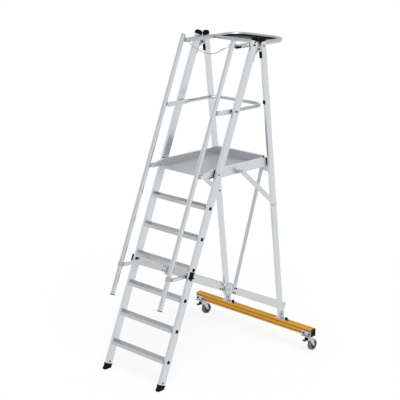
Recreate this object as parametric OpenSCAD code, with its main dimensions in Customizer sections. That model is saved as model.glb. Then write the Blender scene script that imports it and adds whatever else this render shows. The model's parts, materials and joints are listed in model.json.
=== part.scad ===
// Folding platform ladder on a roll beam: front ladder, hinged rear frame, folding platform,
// parallel handrails, top hoop with tray, side struts and two braked castors.
// Millimetres, +Z up, X across the ladder, the climber faces +Y. Origin: middle of the footprint on the floor.

/* [Ladder] */
// Height from one tread to the next
step_pitch = 240; // [236:1:244]
// Lean of the stiles from upright, in degrees
lean_angle = 22; // [21.5:0.25:22.5]
// Width over both stiles
ladder_width = 674; // [654:2:694]
// Stile section, front to back
stile_depth = 68; // [66:0.5:70]
// Stile section, across
stile_thickness = 25; // [24:0.5:26]
// Middle of the stile section, behind the ladder line
stile_shift = 16; // [14:0.5:18]
// Wall of the stile and leg tubes
tube_wall = 2.5; // [2:0.1:3]
// Rounding of the stile and leg edges
edge_round = 3; // [2.6:0.1:3.6]
// Distance up the slope to the lower end of a stile
stile_start = 46; // [45:0.5:48]
// Distance up the slope to the upper end of a stile
stile_end = 2952; // [2948:1:2956]
// Tread, front to back
tread_depth = 68; // [64:1:70]
// Tread, top to bottom
tread_height = 30; // [27:1:33]
// Wall of a tread and of the deck
tread_wall = 2.5; // [2:0.1:3]
// Depth of the grip grooves
groove_depth = 1.6; // [1:0.1:1.8]
// Width of a grip groove
groove_width = 3; // [2.4:0.1:3.4]
// Tread plug, across the stile
plug_width = 24; // [22:0.5:26]
// Tread plug, along the stile
plug_length = 28; // [24:1:32]
// Tread plug, proud of the stile
plug_height = 3; // [2:0.25:4]
// Rounding of a tread plug
plug_round = 7; // [6:0.25:7.25]
// Tread plug centre, below the tread top
plug_drop = 20; // [17:0.5:23]
// Front edge of a tread, ahead of the ladder line
tread_lead = 31; // [29:0.5:33]
// Tread plug centre, behind the ladder line
plug_back = 16; // [15:0.5:17]

/* [Feet and caps] */
// Toe of a foot, ahead of the ladder line
foot_toe = 18; // [16:0.5:20]
// Height of the toe
toe_height = 15; // [12:0.5:17]
// Wall of a foot around the stile
foot_wall = 2.5; // [2:0.1:3]
// Height of the foot collar along the stile
lip_height = 12; // [10:0.5:14]
// Height of the foot neck above the floor
neck_height = 36; // [34:0.5:38]
// Rear end of the sole, behind the ladder line
sole_back = 50; // [49:0.5:52]
// Distance up the slope to the top of a foot
foot_top = 54; // [53:0.5:56]
// Height of a top cap above the tube
cap_height = 38; // [34:1:40]
// Rounding of a top cap
cap_round = 24; // [22:0.5:26]
// Depth of a cap plug inside the tube
cap_plug = 15; // [10:1:20]
// Radius of a round screw or bolt head
head_radius = 8; // [7:0.25:9]
// Thickness of a bolt head
head_height = 4; // [3:0.25:4.5]

/* [Handrails] */
// Outer diameter of a handrail
handrail_diameter = 40; // [38:0.5:42]
// Wall of the round tubes
pipe_wall = 2; // [1.6:0.1:2.4]
// Distance up the slope to the lower end of a handrail
handrail_start = 643; // [630:1:655]
// Length of a handrail tube
handrail_length = 2245; // [2238:1:2255]
// Handrail axis, inward of the lever plane
handrail_inset = 5; // [3:0.5:7]
// Distance from the handrail axis back to the eye pins
eye_reach = 47; // [45:0.5:50]
// Reach of every lever from stile pivot to eye pin
arm_reach = 168; // [165:0.5:170]
// Wall of an eye collar
collar_wall = 4; // [3:0.25:4.5]
// Length of an eye collar
collar_length = 36; // [32:1:40]
// Thickness of an eye tongue
tongue_thickness = 10; // [9:0.25:11]
// Radius of the round end of a tongue or lever
tongue_radius = 13; // [12:0.25:14]
// Radius of the eye pins
eye_pin_radius = 5; // [4.5:0.1:5.5]
// Height of the end caps of the handrails
rail_cap_height = 7; // [5:0.5:9]

/* [Levers and hoops] */
// Stile pivots, behind the ladder line
pivot_back = 12; // [10:0.5:14]
// Radius of the stile pivot bolts
pivot_radius = 6; // [5.5:0.1:6.5]
// Thickness of the black spacers at the stile pivots
spacer_thickness = 8; // [7:0.25:9]
// Spacer plate, across the stile
spacer_width = 44; // [38:1:50]
// Spacer plate, along the stile
spacer_length = 78; // [70:1:84]
// Radius of the small spacer washers
washer_radius = 15; // [13:0.5:17]
// Height of the lower arms above the floor
arm_height = 890; // [880:1:900]
// Height of a lower arm section
arm_section = 26; // [24:0.5:28]
// Knee rail height above the deck
knee_rise = 500; // [490:1:510]
// Outer diameter of the knee rail
knee_diameter = 28; // [26:0.5:29]
// Knee rail, from stile pivot to back bar
knee_reach = 397; // [390:1:404]
// Bend radius of the knee rail
knee_bend = 108; // [100:1:116]
// Height of the knee rail sleeves
sleeve_height = 36; // [33:0.5:38]
// Knee rail sleeves, behind the stile pivot
sleeve_back = 62; // [55:1:70]
// Depth of the knee rail tube in its sleeve
sleeve_depth = 36; // [30:1:40]
// Top hoop height above the deck
hoop_rise = 1022; // [1018:1:1026]
// Outer diameter of the top hoop
hoop_diameter = 38; // [36:0.5:40]
// Top hoop, from stile pivot to back bar
hoop_reach = 466; // [458:1:474]
// Bend radius of the top hoop
hoop_bend = 150; // [140:1:160]
// Length of the bare black insert at a hoop end
insert_length = 16; // [14:0.5:18]
// Depth of an insert inside the hoop tube
insert_depth = 24; // [20:1:28]
// Diameter of the cross tube in front of the tray
cross_diameter = 30; // [28:0.5:32]
// Cross tube, behind the hoop pivot
cross_back = 165; // [158:1:172]
// Wall of the tool tray
tray_wall = 3; // [2.5:0.1:3.5]
// Depth of the tool tray
tray_depth = 17; // [15:0.5:19]
// Rise of the tray rim above the hoop axis
tray_rise = 5; // [3:0.5:6]

/* [Platform] */
// Lever pivot above the deck
pivot_rise = 6; // [4:0.5:8]
// Side board section, across
board_thickness = 25; // [24.5:0.25:26]
// Top edge of the boards above the deck
toe_rise = 46; // [43:0.5:47]
// Top edge of the back board above the deck
back_rise = 60; // [57:0.5:62]
// Lower edge of the boards below the deck
board_drop = 33; // [32:0.5:36]
// Wall of the boards
board_wall = 3; // [2.5:0.1:3.5]
// Half height of a side board at its front eye
nose_half = 15; // [14:0.25:16]
// Length of the upper slope of a side board behind its eye
nose_length = 150; // [140:1:155]
// Level lower edge of a side board, up to this distance ahead of the pivot
nose_foot = 40; // [36:1:44]
// Rear face of the platform behind the pivot line
platform_reach = 620; // [612:1:624]
// Front edge of the deck, ahead of the pivot line
deck_lead = 64; // [60:1:68]
// Height of the deck profile
deck_height = 28; // [26:0.5:30]
// Brace pin on the board, behind the platform pivot
brace_seat = 258; // [256:0.5:260]
// Brace pin on the board, below the platform pivot
brace_drop = 9; // [7:0.5:11]

/* [Rear frame] */
// Lean of the rear legs from upright, in degrees
leg_angle = 6.7; // [6.5:0.1:6.9]
// Hinge pin below the upper end of a stile
hinge_drop = 47; // [45:0.5:49]
// Hinge pin behind the ladder line
hinge_back = 78; // [76:0.5:80]
// Leg centre line behind the hinge pin
leg_back = 63; // [61:0.5:65]
// Leg section, front to back
leg_depth = 57; // [55:0.5:59]
// Leg, above the hinge pin
leg_rise = 50; // [46:1:54]
// Radius of the hinge pin
hinge_pin_radius = 7; // [6.5:0.1:7.5]
// Radius of the hinge ears
ear_radius = 19; // [17:0.5:20]
// Thickness of the middle hinge ear
ear_thickness = 11; // [10:0.25:12]
// Thickness of the hinge flanges
flange_thickness = 5; // [4:0.25:6]
// Lower cross bar section, up and down
cross_height = 54; // [50:1:58]
// Lower cross bar section, front to back
cross_depth = 28; // [25:1:32]
// Middle of the lower cross bar above the floor
cross_level = 343; // [338:1:348]
// Diameter of the diagonal stay
stay_diameter = 33; // [31:0.5:35]
// Lower end of the stay, left of the middle
stay_foot = 226; // [218:1:234]
// Upper end of the stay, above the floor
stay_top = 1640; // [1630:1:1644]
// Upper end of the stay, right of the middle
stay_head = 226; // [220:1:232]

/* [Braces and struts] */
// Brace bar width
brace_width = 40; // [36:0.5:42]
// Brace bar thickness
brace_thickness = 8; // [7:0.25:9]
// Brace pin on the leg, below the hinge pin
brace_level = 1373; // [1370:0.5:1376]
// Brace pin on the leg, behind the hinge pin
brace_back = 62; // [60:0.5:64]
// Strut front pin, up the slope
strut_level = 958; // [955:1:961]
// Strut front pin, behind the ladder line
strut_back = 25; // [24:0.25:26]
// Strut rear pin on the leg, below the hinge pin
strut_foot_level = 2334; // [2332:0.5:2336]
// Strut rear pin on the leg, behind the hinge pin
strut_foot_back = 72; // [70:0.5:74]
// Length of the front strut section, pin to hub
strut_front_length = 445; // [440:1:450]
// Strut section height
strut_height = 64; // [61:0.5:66]
// Strut section thickness
strut_thickness = 13; // [12:0.25:13.5]
// Radius of the strut hub
hub_radius = 52; // [50:0.5:54]
// Radius of the hub pin
hub_pin_radius = 9; // [8.5:0.1:9.5]
// Radius of the hub cover boss
hub_boss_radius = 20; // [18:0.5:22]
// Strut end beyond its pin
strut_lead = 11; // [10:0.25:12]
// Thickness of the clamp pads on the stile
pad_thickness = 4; // [3.5:0.25:4.5]
// Length of the clamp pads along the stile
pad_length = 64; // [60:1:68]
// Depth of the outer clamp pad behind the ladder line
pad_back = 33; // [32:0.5:33]
// Length of the inner clamp pad along the stile
inner_pad_length = 45; // [42:0.5:46]
// Depth of the inner clamp pad behind the ladder line
inner_pad_back = 24; // [22:0.5:26]
// Radius of a rivet
rivet_radius = 4.5; // [4:0.25:5]
// Height of a rivet
rivet_height = 2.5; // [2:0.1:2.8]

/* [Roll beam] */
// Underside of the beam above the floor
beam_level = 153; // [152:0.5:156]
// Beam section, up and down
beam_height = 68; // [66:0.5:70]
// Beam section, front to back
beam_depth = 56; // [54:0.5:58]
// Length of the beam without caps
beam_length = 1400; // [1380:2:1420]
// Wall of the beam
beam_wall = 5; // [4.5:0.1:5.5]
// Width of the grooves along the beam
beam_groove = 7; // [6:0.25:8]
// Depth of the grooves along the beam
beam_groove_depth = 3; // [2.5:0.1:3.4]
// Thickness of the beam end caps
beam_cap = 4; // [3:0.25:5]
// Thickness of the bracket plates
plate_thickness = 5; // [4:0.25:6]
// Height of the leg brackets above the beam
bracket_height = 72; // [68:1:76]
// Width of the leg brackets, front to back
bracket_width = 50; // [46:1:54]
// Bracket foot toward -X, from the leg middle
bracket_left = 44; // [40:1:48]
// Bracket foot toward +X, from the leg middle
bracket_right = 86; // [82:1:90]
// Bolt through the leg, above the beam
bracket_bolt_rise = 44; // [42:0.5:46]
// Clamp knob, from the leg middle
knob_offset = 68; // [65:0.5:70]
// Radius of a clamp knob
knob_radius = 11; // [10:0.5:12]
// Height of a clamp knob
knob_height = 16; // [14:0.5:18]

/* [Castors] */
// Castor swivel axis, from the end of the beam
castor_inset = 50; // [49:0.5:60]
// Castor swivel axis, behind the beam middle
castor_back = 10; // [8:0.5:12]
// Wheel axle behind the swivel axis
castor_trail = 42; // [40:0.5:44]
// Wheel diameter
wheel_diameter = 100; // [98:0.5:102]
// Wheel width
wheel_width = 32; // [30:0.5:33]
// Radius of the wheel centre inside the tyre
wheel_core_radius = 35; // [33:0.5:37]
// Radius of the axle
axle_radius = 5; // [4.5:0.1:5.5]
// Radius of the swivel stem
stem_radius = 8; // [7:0.25:9]
// Radius of the swivel head
swivel_radius = 27; // [25:0.5:28]
// Height of the swivel head
swivel_height = 14; // [13:0.5:15]
// Thickness of the fork plates
fork_plate = 3; // [2.6:0.1:3.4]
// Saddle, along the beam
saddle_length = 96; // [90:1:100]
// Height of the saddle sides on the beam
saddle_rise = 46; // [42:1:50]
// Pedal width
pedal_width = 30; // [27:0.5:32]
// Pedal length
pedal_length = 46; // [42:0.5:50]
// Pedal thickness
pedal_thickness = 7; // [6:0.25:8]

/* [Entry cord] */
// Diameter of the safety cord
cord_diameter = 6; // [5:0.25:7]

/* [Hidden] */
$fn = 48;
// Overrun of every cut past the face it opens
overrun = 2;
// Side clearance between pieces that are fastened together
fit_gap = 0.1;
// Radial running clearance of pins that turn in a bore
run_gap = 0.05;
// Side clearance between pieces that move past each other
slide_gap = 0.5;
// Overlap of solids that are welded into one
weld = 1;
// Rim of a cap beyond its tube
cap_lip = 1;
lean_sin = sin(lean_angle);
lean_cos = cos(lean_angle);
leg_sin = sin(leg_angle);
leg_cos = cos(leg_angle);
half_width = ladder_width / 2;
stile_in = half_width - stile_thickness;
stile_mid = half_width - stile_thickness / 2;
board_out = stile_in - spacer_thickness - slide_gap;
board_in = board_out - board_thickness;
lever_x = board_out - board_thickness / 2;
handrail_x = lever_x - handrail_inset;
handrail_radius = handrail_diameter / 2;
fork_gap = tongue_thickness / 2 + slide_gap / 2;
deck_steps = 7;
deck_level = deck_steps * step_pitch;
// Depth and height of a point of the front ladder: distance up the slope, distance behind the ladder line
function front_y(up, back) = back * lean_cos + up * lean_sin;
function front_z(up, back) = up * lean_cos - back * lean_sin;
function up_at(level, back) = (level + back * lean_sin) / lean_cos;
arm_up = up_at(arm_height, pivot_back);
deck_up = up_at(deck_level + pivot_rise, pivot_back);
knee_up = up_at(deck_level + knee_rise, pivot_back);
hoop_up = up_at(deck_level + hoop_rise, pivot_back);
lever_ups = [arm_up, deck_up, knee_up, hoop_up];
deck_pivot_y = front_y(deck_up, pivot_back);
deck_pivot_z = deck_level + pivot_rise;
knee_y = front_y(knee_up, pivot_back);
knee_z = deck_level + knee_rise;
hoop_y = front_y(hoop_up, pivot_back);
hoop_z = deck_level + hoop_rise;
arm_y = front_y(arm_up, pivot_back);
eye_back = pivot_back - arm_reach * lean_cos;
eye_fall = arm_reach * lean_sin;
handrail_back = eye_back - eye_reach;
hinge_up = stile_end - hinge_drop;
hinge_y = front_y(hinge_up, hinge_back);
hinge_z = front_z(hinge_up, hinge_back);
leg_front = leg_back - leg_depth / 2;
beam_top = beam_level + beam_height;
leg_gap = 3;
leg_length = (hinge_z + leg_front * leg_sin - beam_top - plate_thickness - leg_gap) / leg_cos;
beam_y = hinge_y + leg_back * leg_cos + leg_length * leg_sin;
castor_y = beam_y + castor_back;
wheel_radius = wheel_diameter / 2;
// Middle of the footprint, front toe to rear of the wheels
mid_y = (castor_y + castor_trail + wheel_radius - foot_toe) / 2;
strut_y = front_y(strut_level, strut_back);
strut_z = front_z(strut_level, strut_back);
// Points of the rear frame: behind the hinge pin, below the hinge pin
function rear_y(back, below) = hinge_y + back * leg_cos + below * leg_sin;
function rear_z(back, below) = hinge_z + back * leg_sin - below * leg_cos;
strut_foot_y = rear_y(strut_foot_back, strut_foot_level);
strut_foot_z = rear_z(strut_foot_back, strut_foot_level);
strut_span = norm([strut_foot_y - strut_y, strut_foot_z - strut_z]);
strut_angle = atan2(strut_foot_z - strut_z, strut_foot_y - strut_y);
strut_rear_length = strut_span - strut_front_length;
strut_gap = 1;
strut_in = half_width + pad_thickness + strut_gap;
strut_out = strut_in + strut_thickness;
hub_split = strut_out + head_height - slide_gap / 2;
rear_strut_in = hub_split + slide_gap;
rear_strut_out = rear_strut_in + strut_thickness;
brace_y = deck_pivot_y + brace_seat;
brace_z = deck_pivot_z - brace_drop;
brace_foot_y = rear_y(brace_back, brace_level);
brace_foot_z = rear_z(brace_back, brace_level);
brace_span = norm([brace_foot_y - brace_y, brace_foot_z - brace_z]);
brace_angle = atan2(brace_foot_z - brace_z, brace_foot_y - brace_y);
post_shoulder = 6;
brace_in = half_width + post_shoulder;
brace_out = brace_in + brace_thickness;
axle_y = castor_y + castor_trail;
saddle_bottom = beam_level - plate_thickness;
swivel_top = saddle_bottom - slide_gap;
swivel_bottom = swivel_top - swivel_height;
wheel_gap = 2;
fork_in = wheel_width / 2 + wheel_gap;
fork_out = fork_in + fork_plate;

// Frames: floor, front ladder along its slope, rear frame from its hinge pin
module on_floor() translate([0, -mid_y, 0]) children();
module on_front() translate([0, -mid_y, 0]) rotate([-lean_angle, 0, 0]) children();
module on_rear() translate([0, hinge_y - mid_y, hinge_z]) rotate([leg_angle, 0, 0]) children();
module both_sides() {
    children();
    mirror([1, 0, 0]) children();
}
// A side outline, drawn as depth and height, given its thickness across
module side_slab(from, to) translate([from, 0, 0]) rotate([90, 0, 90])
    linear_extrude(height = to - from) children();
// A round bar across, at a depth and height
module cross_bar(from, to, radius, y, z) translate([from, y, z]) rotate([0, 90, 0])
    cylinder(h = to - from, r = radius);
module rounded(width, depth, radius) {
    translate([radius, 0]) square([width - 2 * radius, depth]);
    translate([0, radius]) square([width, depth - 2 * radius]);
    for (x = [radius, width - radius], y = [radius, depth - radius]) translate([x, y]) circle(r = radius);
}
module box_tube(width, depth, wall, length) linear_extrude(height = length) difference() {
    rounded(width, depth, edge_round);
    translate([wall, wall]) square([width - 2 * wall, depth - 2 * wall]);
}
module pipe(radius, wall, length) difference() {
    cylinder(h = length, r = radius);
    translate([0, 0, -overrun]) cylinder(h = length + 2 * overrun, r = radius - wall);
}
castor_x = beam_length / 2 - castor_inset;
wheel_axle_z = wheel_radius;
bolt_blind = 3;
clamp_share = 0.3;
clamp_low = strut_level - pad_length * clamp_share;
front_face = stile_shift - stile_depth / 2;
stile_back = stile_shift + stile_depth / 2;
screw_radius = 5;
foot_screw_rise = 18;
foot_screw_up = foot_top + foot_screw_rise;
hoop_screw_rise = 24;
hoop_screw_up = hoop_up + hoop_screw_rise;
tray_front = hoop_y + cross_back + cross_diameter / 2 + fit_gap;
tray_back = hoop_y + hoop_reach - hoop_diameter / 2 - fit_gap;
tray_length = tray_back - tray_front;
tray_round = hoop_bend - hoop_diameter / 2 - fit_gap;
tray_half = lever_x - hoop_diameter / 2 - fit_gap;

module stile() color("Silver") on_front() difference() {
    translate([stile_in, front_face, stile_start])
        box_tube(stile_thickness, stile_depth, tube_wall, stile_end - stile_start);
    for (up = lever_ups)
        cross_bar(stile_in - overrun, half_width + overrun, pivot_radius + fit_gap, pivot_back, up);
    cross_bar(stile_mid, half_width + overrun, pivot_radius + fit_gap, strut_back, strut_level);
}
module left_stile() mirror([1, 0, 0]) stile();
module right_stile() stile();

// Ribbed hollow tread profile, front edge at zero, top at zero
tread_cells = 2;
tread_cell = (tread_depth - (tread_cells + 1) * tread_wall) / tread_cells;
tread_roof = tread_wall + groove_depth;
groove_pitch = 7;
module tread_outline() difference() {
    translate([0, -tread_height]) square([tread_depth, tread_height]);
    for (k = [0 : tread_cells - 1])
        translate([tread_wall + k * (tread_cell + tread_wall), tread_wall - tread_height])
            square([tread_cell, tread_height - tread_wall - tread_roof]);
    for (y = [groove_pitch : groove_pitch : tread_depth - groove_pitch])
        translate([y - groove_width / 2, -groove_depth]) square([groove_width, groove_depth + overrun]);
}
module tread(number) color("DimGray") on_floor()
    translate([0, number * step_pitch * lean_sin / lean_cos - tread_lead, number * step_pitch])
        side_slab(-stile_in, stile_in) tread_outline();
module tread_1() tread(1);
module tread_2() tread(2);
module tread_3() tread(3);
module tread_4() tread(4);
module tread_5() tread(5);
module tread_6() tread(6);

module tread_plugs() color("Black") both_sides() on_front()
    for (number = [1 : deck_steps - 1])
        translate([0, plug_back - plug_width / 2,
            up_at(number * step_pitch - plug_drop, plug_back) - plug_length / 2])
            side_slab(half_width, half_width + plug_height) rounded(plug_width, plug_length, plug_round);

foot_front = front_face - foot_wall;
foot_back = stile_back + foot_wall;
neck_lead = 1;
toe_round = 3;
module foot() difference() {
    on_floor() side_slab(stile_in - foot_wall, half_width + foot_wall) polygon([
        [toe_round - foot_toe, 0],
        [sole_back, 0],
        [front_y(foot_top, foot_back), front_z(foot_top, foot_back)],
        [front_y(foot_top, foot_front), front_z(foot_top, foot_front)],
        [front_y(foot_top - lip_height, foot_front), front_z(foot_top - lip_height, foot_front)],
        [-neck_lead, neck_height],
        [-foot_toe, toe_height],
        [-foot_toe, toe_round]]);
    on_front() translate([stile_in - fit_gap, front_face - fit_gap, stile_start - fit_gap])
        cube([stile_thickness + 2 * fit_gap, stile_depth + 2 * fit_gap, foot_top]);
}
module feet() color("Black") both_sides() foot();

// Cap of a box tube: its middle at the origin, tube end at zero height, plug below
module tube_cap(width, depth) {
    translate([-width / 2 - cap_lip, 0, 0]) side_slab(0, width + 2 * cap_lip) difference() {
        translate([-depth / 2 - cap_lip, -cap_height]) rounded(depth + 2 * cap_lip, 2 * cap_height, cap_round);
        translate([-depth, -2 * cap_height]) square([2 * depth, 2 * cap_height]);
    }
    translate([tube_wall + fit_gap - width / 2, tube_wall + fit_gap - depth / 2, -cap_plug])
        cube([width - 2 * tube_wall - 2 * fit_gap, depth - 2 * tube_wall - 2 * fit_gap, cap_plug + weld]);
}
module stile_caps() color("Black") both_sides() on_front()
    translate([stile_mid, stile_shift, stile_end]) tube_cap(stile_thickness, stile_depth);

// Front hinge halves: a flange on the stile and one middle ear
hinge_flange_low = 115;
hinge_flange_high = 40;
ear_low = 70;
ear_high = 26;
ear_slope_share = 0.6;
ear_fall_share = 0.8;
module hinge_front() on_front() translate([0, 0, hinge_up]) {
    translate([0, stile_back, 0]) side_slab(stile_in, half_width)
        translate([0, -hinge_flange_low]) square([flange_thickness, hinge_flange_low + hinge_flange_high]);
    side_slab(stile_mid - ear_thickness / 2, stile_mid + ear_thickness / 2) difference() {
        union() {
            polygon([[stile_back + weld, -ear_low],
                [hinge_back + ear_radius * ear_slope_share, -ear_radius * ear_fall_share],
                [hinge_back, ear_radius], [stile_back + weld, ear_high]]);
            translate([hinge_back, 0]) circle(r = ear_radius);
        }
        translate([hinge_back, 0]) circle(r = hinge_pin_radius + run_gap);
    }
}
module hinge_fronts() color("Silver") both_sides() hinge_front();

// Black clamp pads on both faces of the stile at the strut pin
// Nose of the outer pad before the end of the strut
pad_nose_depth = 9;
pad_nose_reach = 15;
module stile_clamp() on_front() difference() {
    translate([0, front_face, clamp_low]) {
        translate([half_width, 0, 0]) cube([pad_thickness, pad_back - front_face, pad_length]);
        translate([half_width, 0, 0]) cube([pad_thickness + pad_nose_reach, pad_nose_depth, pad_length]);
        translate([stile_in - spacer_thickness, 0, 0])
            cube([spacer_thickness, inner_pad_back - front_face, inner_pad_length]);
    }
    cross_bar(stile_in - 2 * spacer_thickness, stile_mid, pivot_radius + fit_gap, pivot_back, arm_up);
    cross_bar(stile_mid, half_width + 2 * pad_thickness, pivot_radius + fit_gap, strut_back, strut_level);
}
module stile_clamps() color("Black") both_sides() stile_clamp();

module front_spacer() on_front() difference() {
    union() {
        translate([stile_in - spacer_thickness, pivot_back - spacer_width + washer_radius,
            deck_up - spacer_length / 2])
            cube([spacer_thickness, spacer_width, spacer_length]);
        cross_bar(stile_in - spacer_thickness, stile_in, washer_radius, pivot_back, knee_up);
    }
    for (up = lever_ups)
        cross_bar(stile_in - 2 * spacer_thickness, stile_in + overrun, pivot_radius + fit_gap, pivot_back, up);
}
module front_spacers() color("Black") both_sides() front_spacer();

module pivot_bolt_set() on_front() {
    for (up = [deck_up, knee_up, hoop_up]) {
        cross_bar(board_in + bolt_blind, half_width + weld, pivot_radius, pivot_back, up);
        cross_bar(half_width, half_width + head_height, head_radius, pivot_back, up);
    }
    cross_bar(board_in + bolt_blind, stile_mid, pivot_radius, pivot_back, arm_up);
    cross_bar(stile_mid + weld, hub_split - weld, pivot_radius, strut_back, strut_level);
    cross_bar(strut_out + slide_gap / 2, hub_split, head_radius, strut_back, strut_level);
    cross_bar(half_width, half_width + head_height, screw_radius, pivot_back, hoop_screw_up);
    cross_bar(half_width, half_width + head_height, screw_radius, stile_shift, foot_screw_up);
}
module pivot_bolts() color("Gray") both_sides() pivot_bolt_set();

// Rear frame
bracket_bolt_below = (hinge_z + leg_back * leg_sin - beam_top - bracket_bolt_rise) / leg_cos;
module leg() color("Silver") on_rear() difference() {
    translate([stile_in, leg_front, -leg_length])
        box_tube(stile_thickness, leg_depth, tube_wall, leg_length + leg_rise);
    cross_bar(stile_in - overrun, half_width + overrun, pivot_radius + fit_gap, leg_back, -bracket_bolt_below);
}
module left_leg() mirror([1, 0, 0]) leg();
module right_leg() leg();

module leg_caps() color("Black") both_sides() on_rear()
    translate([stile_mid, leg_back, leg_rise]) tube_cap(stile_thickness, leg_depth);

// Rear hinge halves: a flange on the leg, two outer ears and the pin
cheek_in = ear_thickness / 2 + slide_gap;
cheek_out = cheek_in + flange_thickness;
cheek_low = 28;
cheek_high = 38;
pin_overhang = 3;
module hinge_rear() on_rear() {
    side_slab(stile_in, half_width) translate([leg_front - flange_thickness, -cheek_low])
        square([flange_thickness, cheek_low + cheek_high]);
    for (from = [stile_mid - cheek_out, stile_mid + cheek_in]) side_slab(from, from + flange_thickness) {
        polygon([[0, ear_radius], [-ear_radius * ear_slope_share, -ear_radius * ear_fall_share],
            [leg_front - weld, -cheek_low], [leg_front - weld, ear_high]]);
        circle(r = ear_radius);
    }
    cross_bar(stile_mid - cheek_out - pin_overhang, stile_mid + cheek_out + pin_overhang,
        hinge_pin_radius, 0, 0);
}
module hinge_rears() color("Silver") both_sides() hinge_rear();

// Black pads on the legs: strip under the hinge, stop above it, board guide, knee rail buffer on the right
strip_top = 29;
strip_length = 54;
strip_depth = 14;
pad_depth = 6;
stop_depth = 12;
stop_low = 40;
stop_height = 9;
buffer_below = 446;
buffer_length = 30;
guide_below = 955;
guide_length = 76;
guide_width = 24;
module leg_pad_set() on_rear() {
    translate([stile_in + tube_wall, leg_front - strip_depth, -strip_top - strip_length])
        cube([stile_thickness - 2 * tube_wall, strip_depth, strip_length]);
    translate([stile_in + tube_wall, leg_front - stop_depth, stop_low])
        cube([stile_thickness - 2 * tube_wall, stop_depth, stop_height]);
    translate([stile_in - pad_depth, leg_front, -guide_below - guide_length])
        cube([pad_depth, guide_width, guide_length]);
}
module leg_pads() color("Black") {
    both_sides() leg_pad_set();
    on_rear() translate([stile_in, leg_front - pad_depth, -buffer_below - buffer_length])
        cube([stile_thickness, pad_depth, buffer_length]);
}

cross_below = (hinge_z + leg_back * leg_sin - cross_level) / leg_cos;
module lower_crossbar() color("Silver") on_rear()
    translate([-stile_in, leg_back - cross_depth / 2, -cross_below - cross_height / 2])
        rotate([90, 0, 90]) box_tube(cross_depth, cross_height, tube_wall, 2 * stile_in);

// Diagonal stay from the cross bar to a lug on the right leg
stay_low_below = cross_below - cross_height / 2;
stay_high_below = (hinge_z + leg_back * leg_sin - stay_top) / leg_cos;
stay_tilt = atan2(stay_head + stay_foot, stay_low_below - stay_high_below);
stay_length = norm([stay_head + stay_foot, stay_low_below - stay_high_below]);
lug_height = 46;
lug_thickness = 8;
module diagonal_stay() color("Silver") on_rear() {
    intersection() {
        translate([-stay_foot, leg_back, -stay_low_below]) rotate([0, stay_tilt, 0])
            translate([0, 0, -stay_diameter]) cylinder(h = stay_length + stay_diameter, r = stay_diameter / 2);
        translate([-ladder_width, leg_back - stay_diameter, -stay_low_below])
            cube([2 * ladder_width, 2 * stay_diameter, stay_length]);
    }
    translate([stay_head - stay_diameter / 2, leg_back - lug_thickness / 2, -stay_high_below - lug_height])
        cube([stile_in - stay_head + stay_diameter / 2, lug_thickness, lug_height]);
}

// Roll beam
groove_levels_share = [0.28, 0.72];
module beam_outline() difference() {
    translate([-beam_depth / 2, 0]) rounded(beam_depth, beam_height, edge_round);
    for (side = [-1, 1], share = groove_levels_share)
        translate([side * beam_depth / 2 - beam_groove_depth, beam_height * share - beam_groove / 2])
            square([2 * beam_groove_depth, beam_groove]);
    translate([-beam_groove / 2, beam_height - beam_groove_depth]) square([beam_groove, 2 * beam_groove_depth]);
}
beam_void_side = beam_wall + beam_groove_depth;
module roll_beam() color("Goldenrod") on_floor() translate([0, beam_y, beam_level])
    side_slab(-beam_length / 2, beam_length / 2) difference() {
        beam_outline();
        translate([beam_void_side - beam_depth / 2, beam_wall])
            square([beam_depth - 2 * beam_void_side, beam_height - 2 * beam_wall - beam_groove_depth]);
    }
module beam_caps() color("Black") both_sides() on_floor() translate([0, beam_y, beam_level])
    side_slab(beam_length / 2, beam_length / 2 + beam_cap)
        translate([-beam_depth / 2, 0]) rounded(beam_depth, beam_height, edge_round);

ear_gap = stile_thickness / 2 + fit_gap;
bracket_bolt_y = rear_y(leg_back, bracket_bolt_below);
module beam_bracket() difference() {
    translate([0, 0, beam_top]) {
        translate([-bracket_left, beam_y - bracket_width / 2, 0])
            cube([bracket_left + bracket_right, bracket_width, plate_thickness]);
        for (x = [-ear_gap - plate_thickness, ear_gap])
            translate([x, beam_y - bracket_width / 2, 0])
                cube([plate_thickness, bracket_width, bracket_height]);
    }
    cross_bar(-2 * ear_gap, 2 * ear_gap, pivot_radius + fit_gap, bracket_bolt_y, beam_top + bracket_bolt_rise);
}
module beam_brackets() color("Silver") on_floor()
    for (x = [-stile_mid, stile_mid]) translate([x, 0, 0]) beam_bracket();

post_radius = 11;
leg_bolt_high = 1427;
leg_bolt_low = 1303;
leg_top_bolt = 14;
saddle_bolt_share = 0.32;
saddle_bolt_level_share = 0.55;
saddle_front = beam_y - beam_depth / 2 - plate_thickness;
module bracket_bolt() {
    cross_bar(-ear_gap - plate_thickness - weld, ear_gap + plate_thickness + weld, pivot_radius,
        bracket_bolt_y, beam_top + bracket_bolt_rise);
    for (x = [-ear_gap - plate_thickness - head_height, ear_gap + plate_thickness])
        cross_bar(x, x + head_height, head_radius, bracket_bolt_y, beam_top + bracket_bolt_rise);
    translate([knob_offset, beam_y, beam_top + plate_thickness]) cylinder(h = knob_height, r = knob_radius);
}
module castor_bolt(x) for (side = [-saddle_bolt_share, saddle_bolt_share])
    translate([x + side * saddle_length, saddle_front, saddle_bottom + saddle_rise * saddle_bolt_level_share])
        rotate([90, 0, 0]) cylinder(h = head_height, r = head_radius);
strut_boss_radius = 14;
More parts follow.
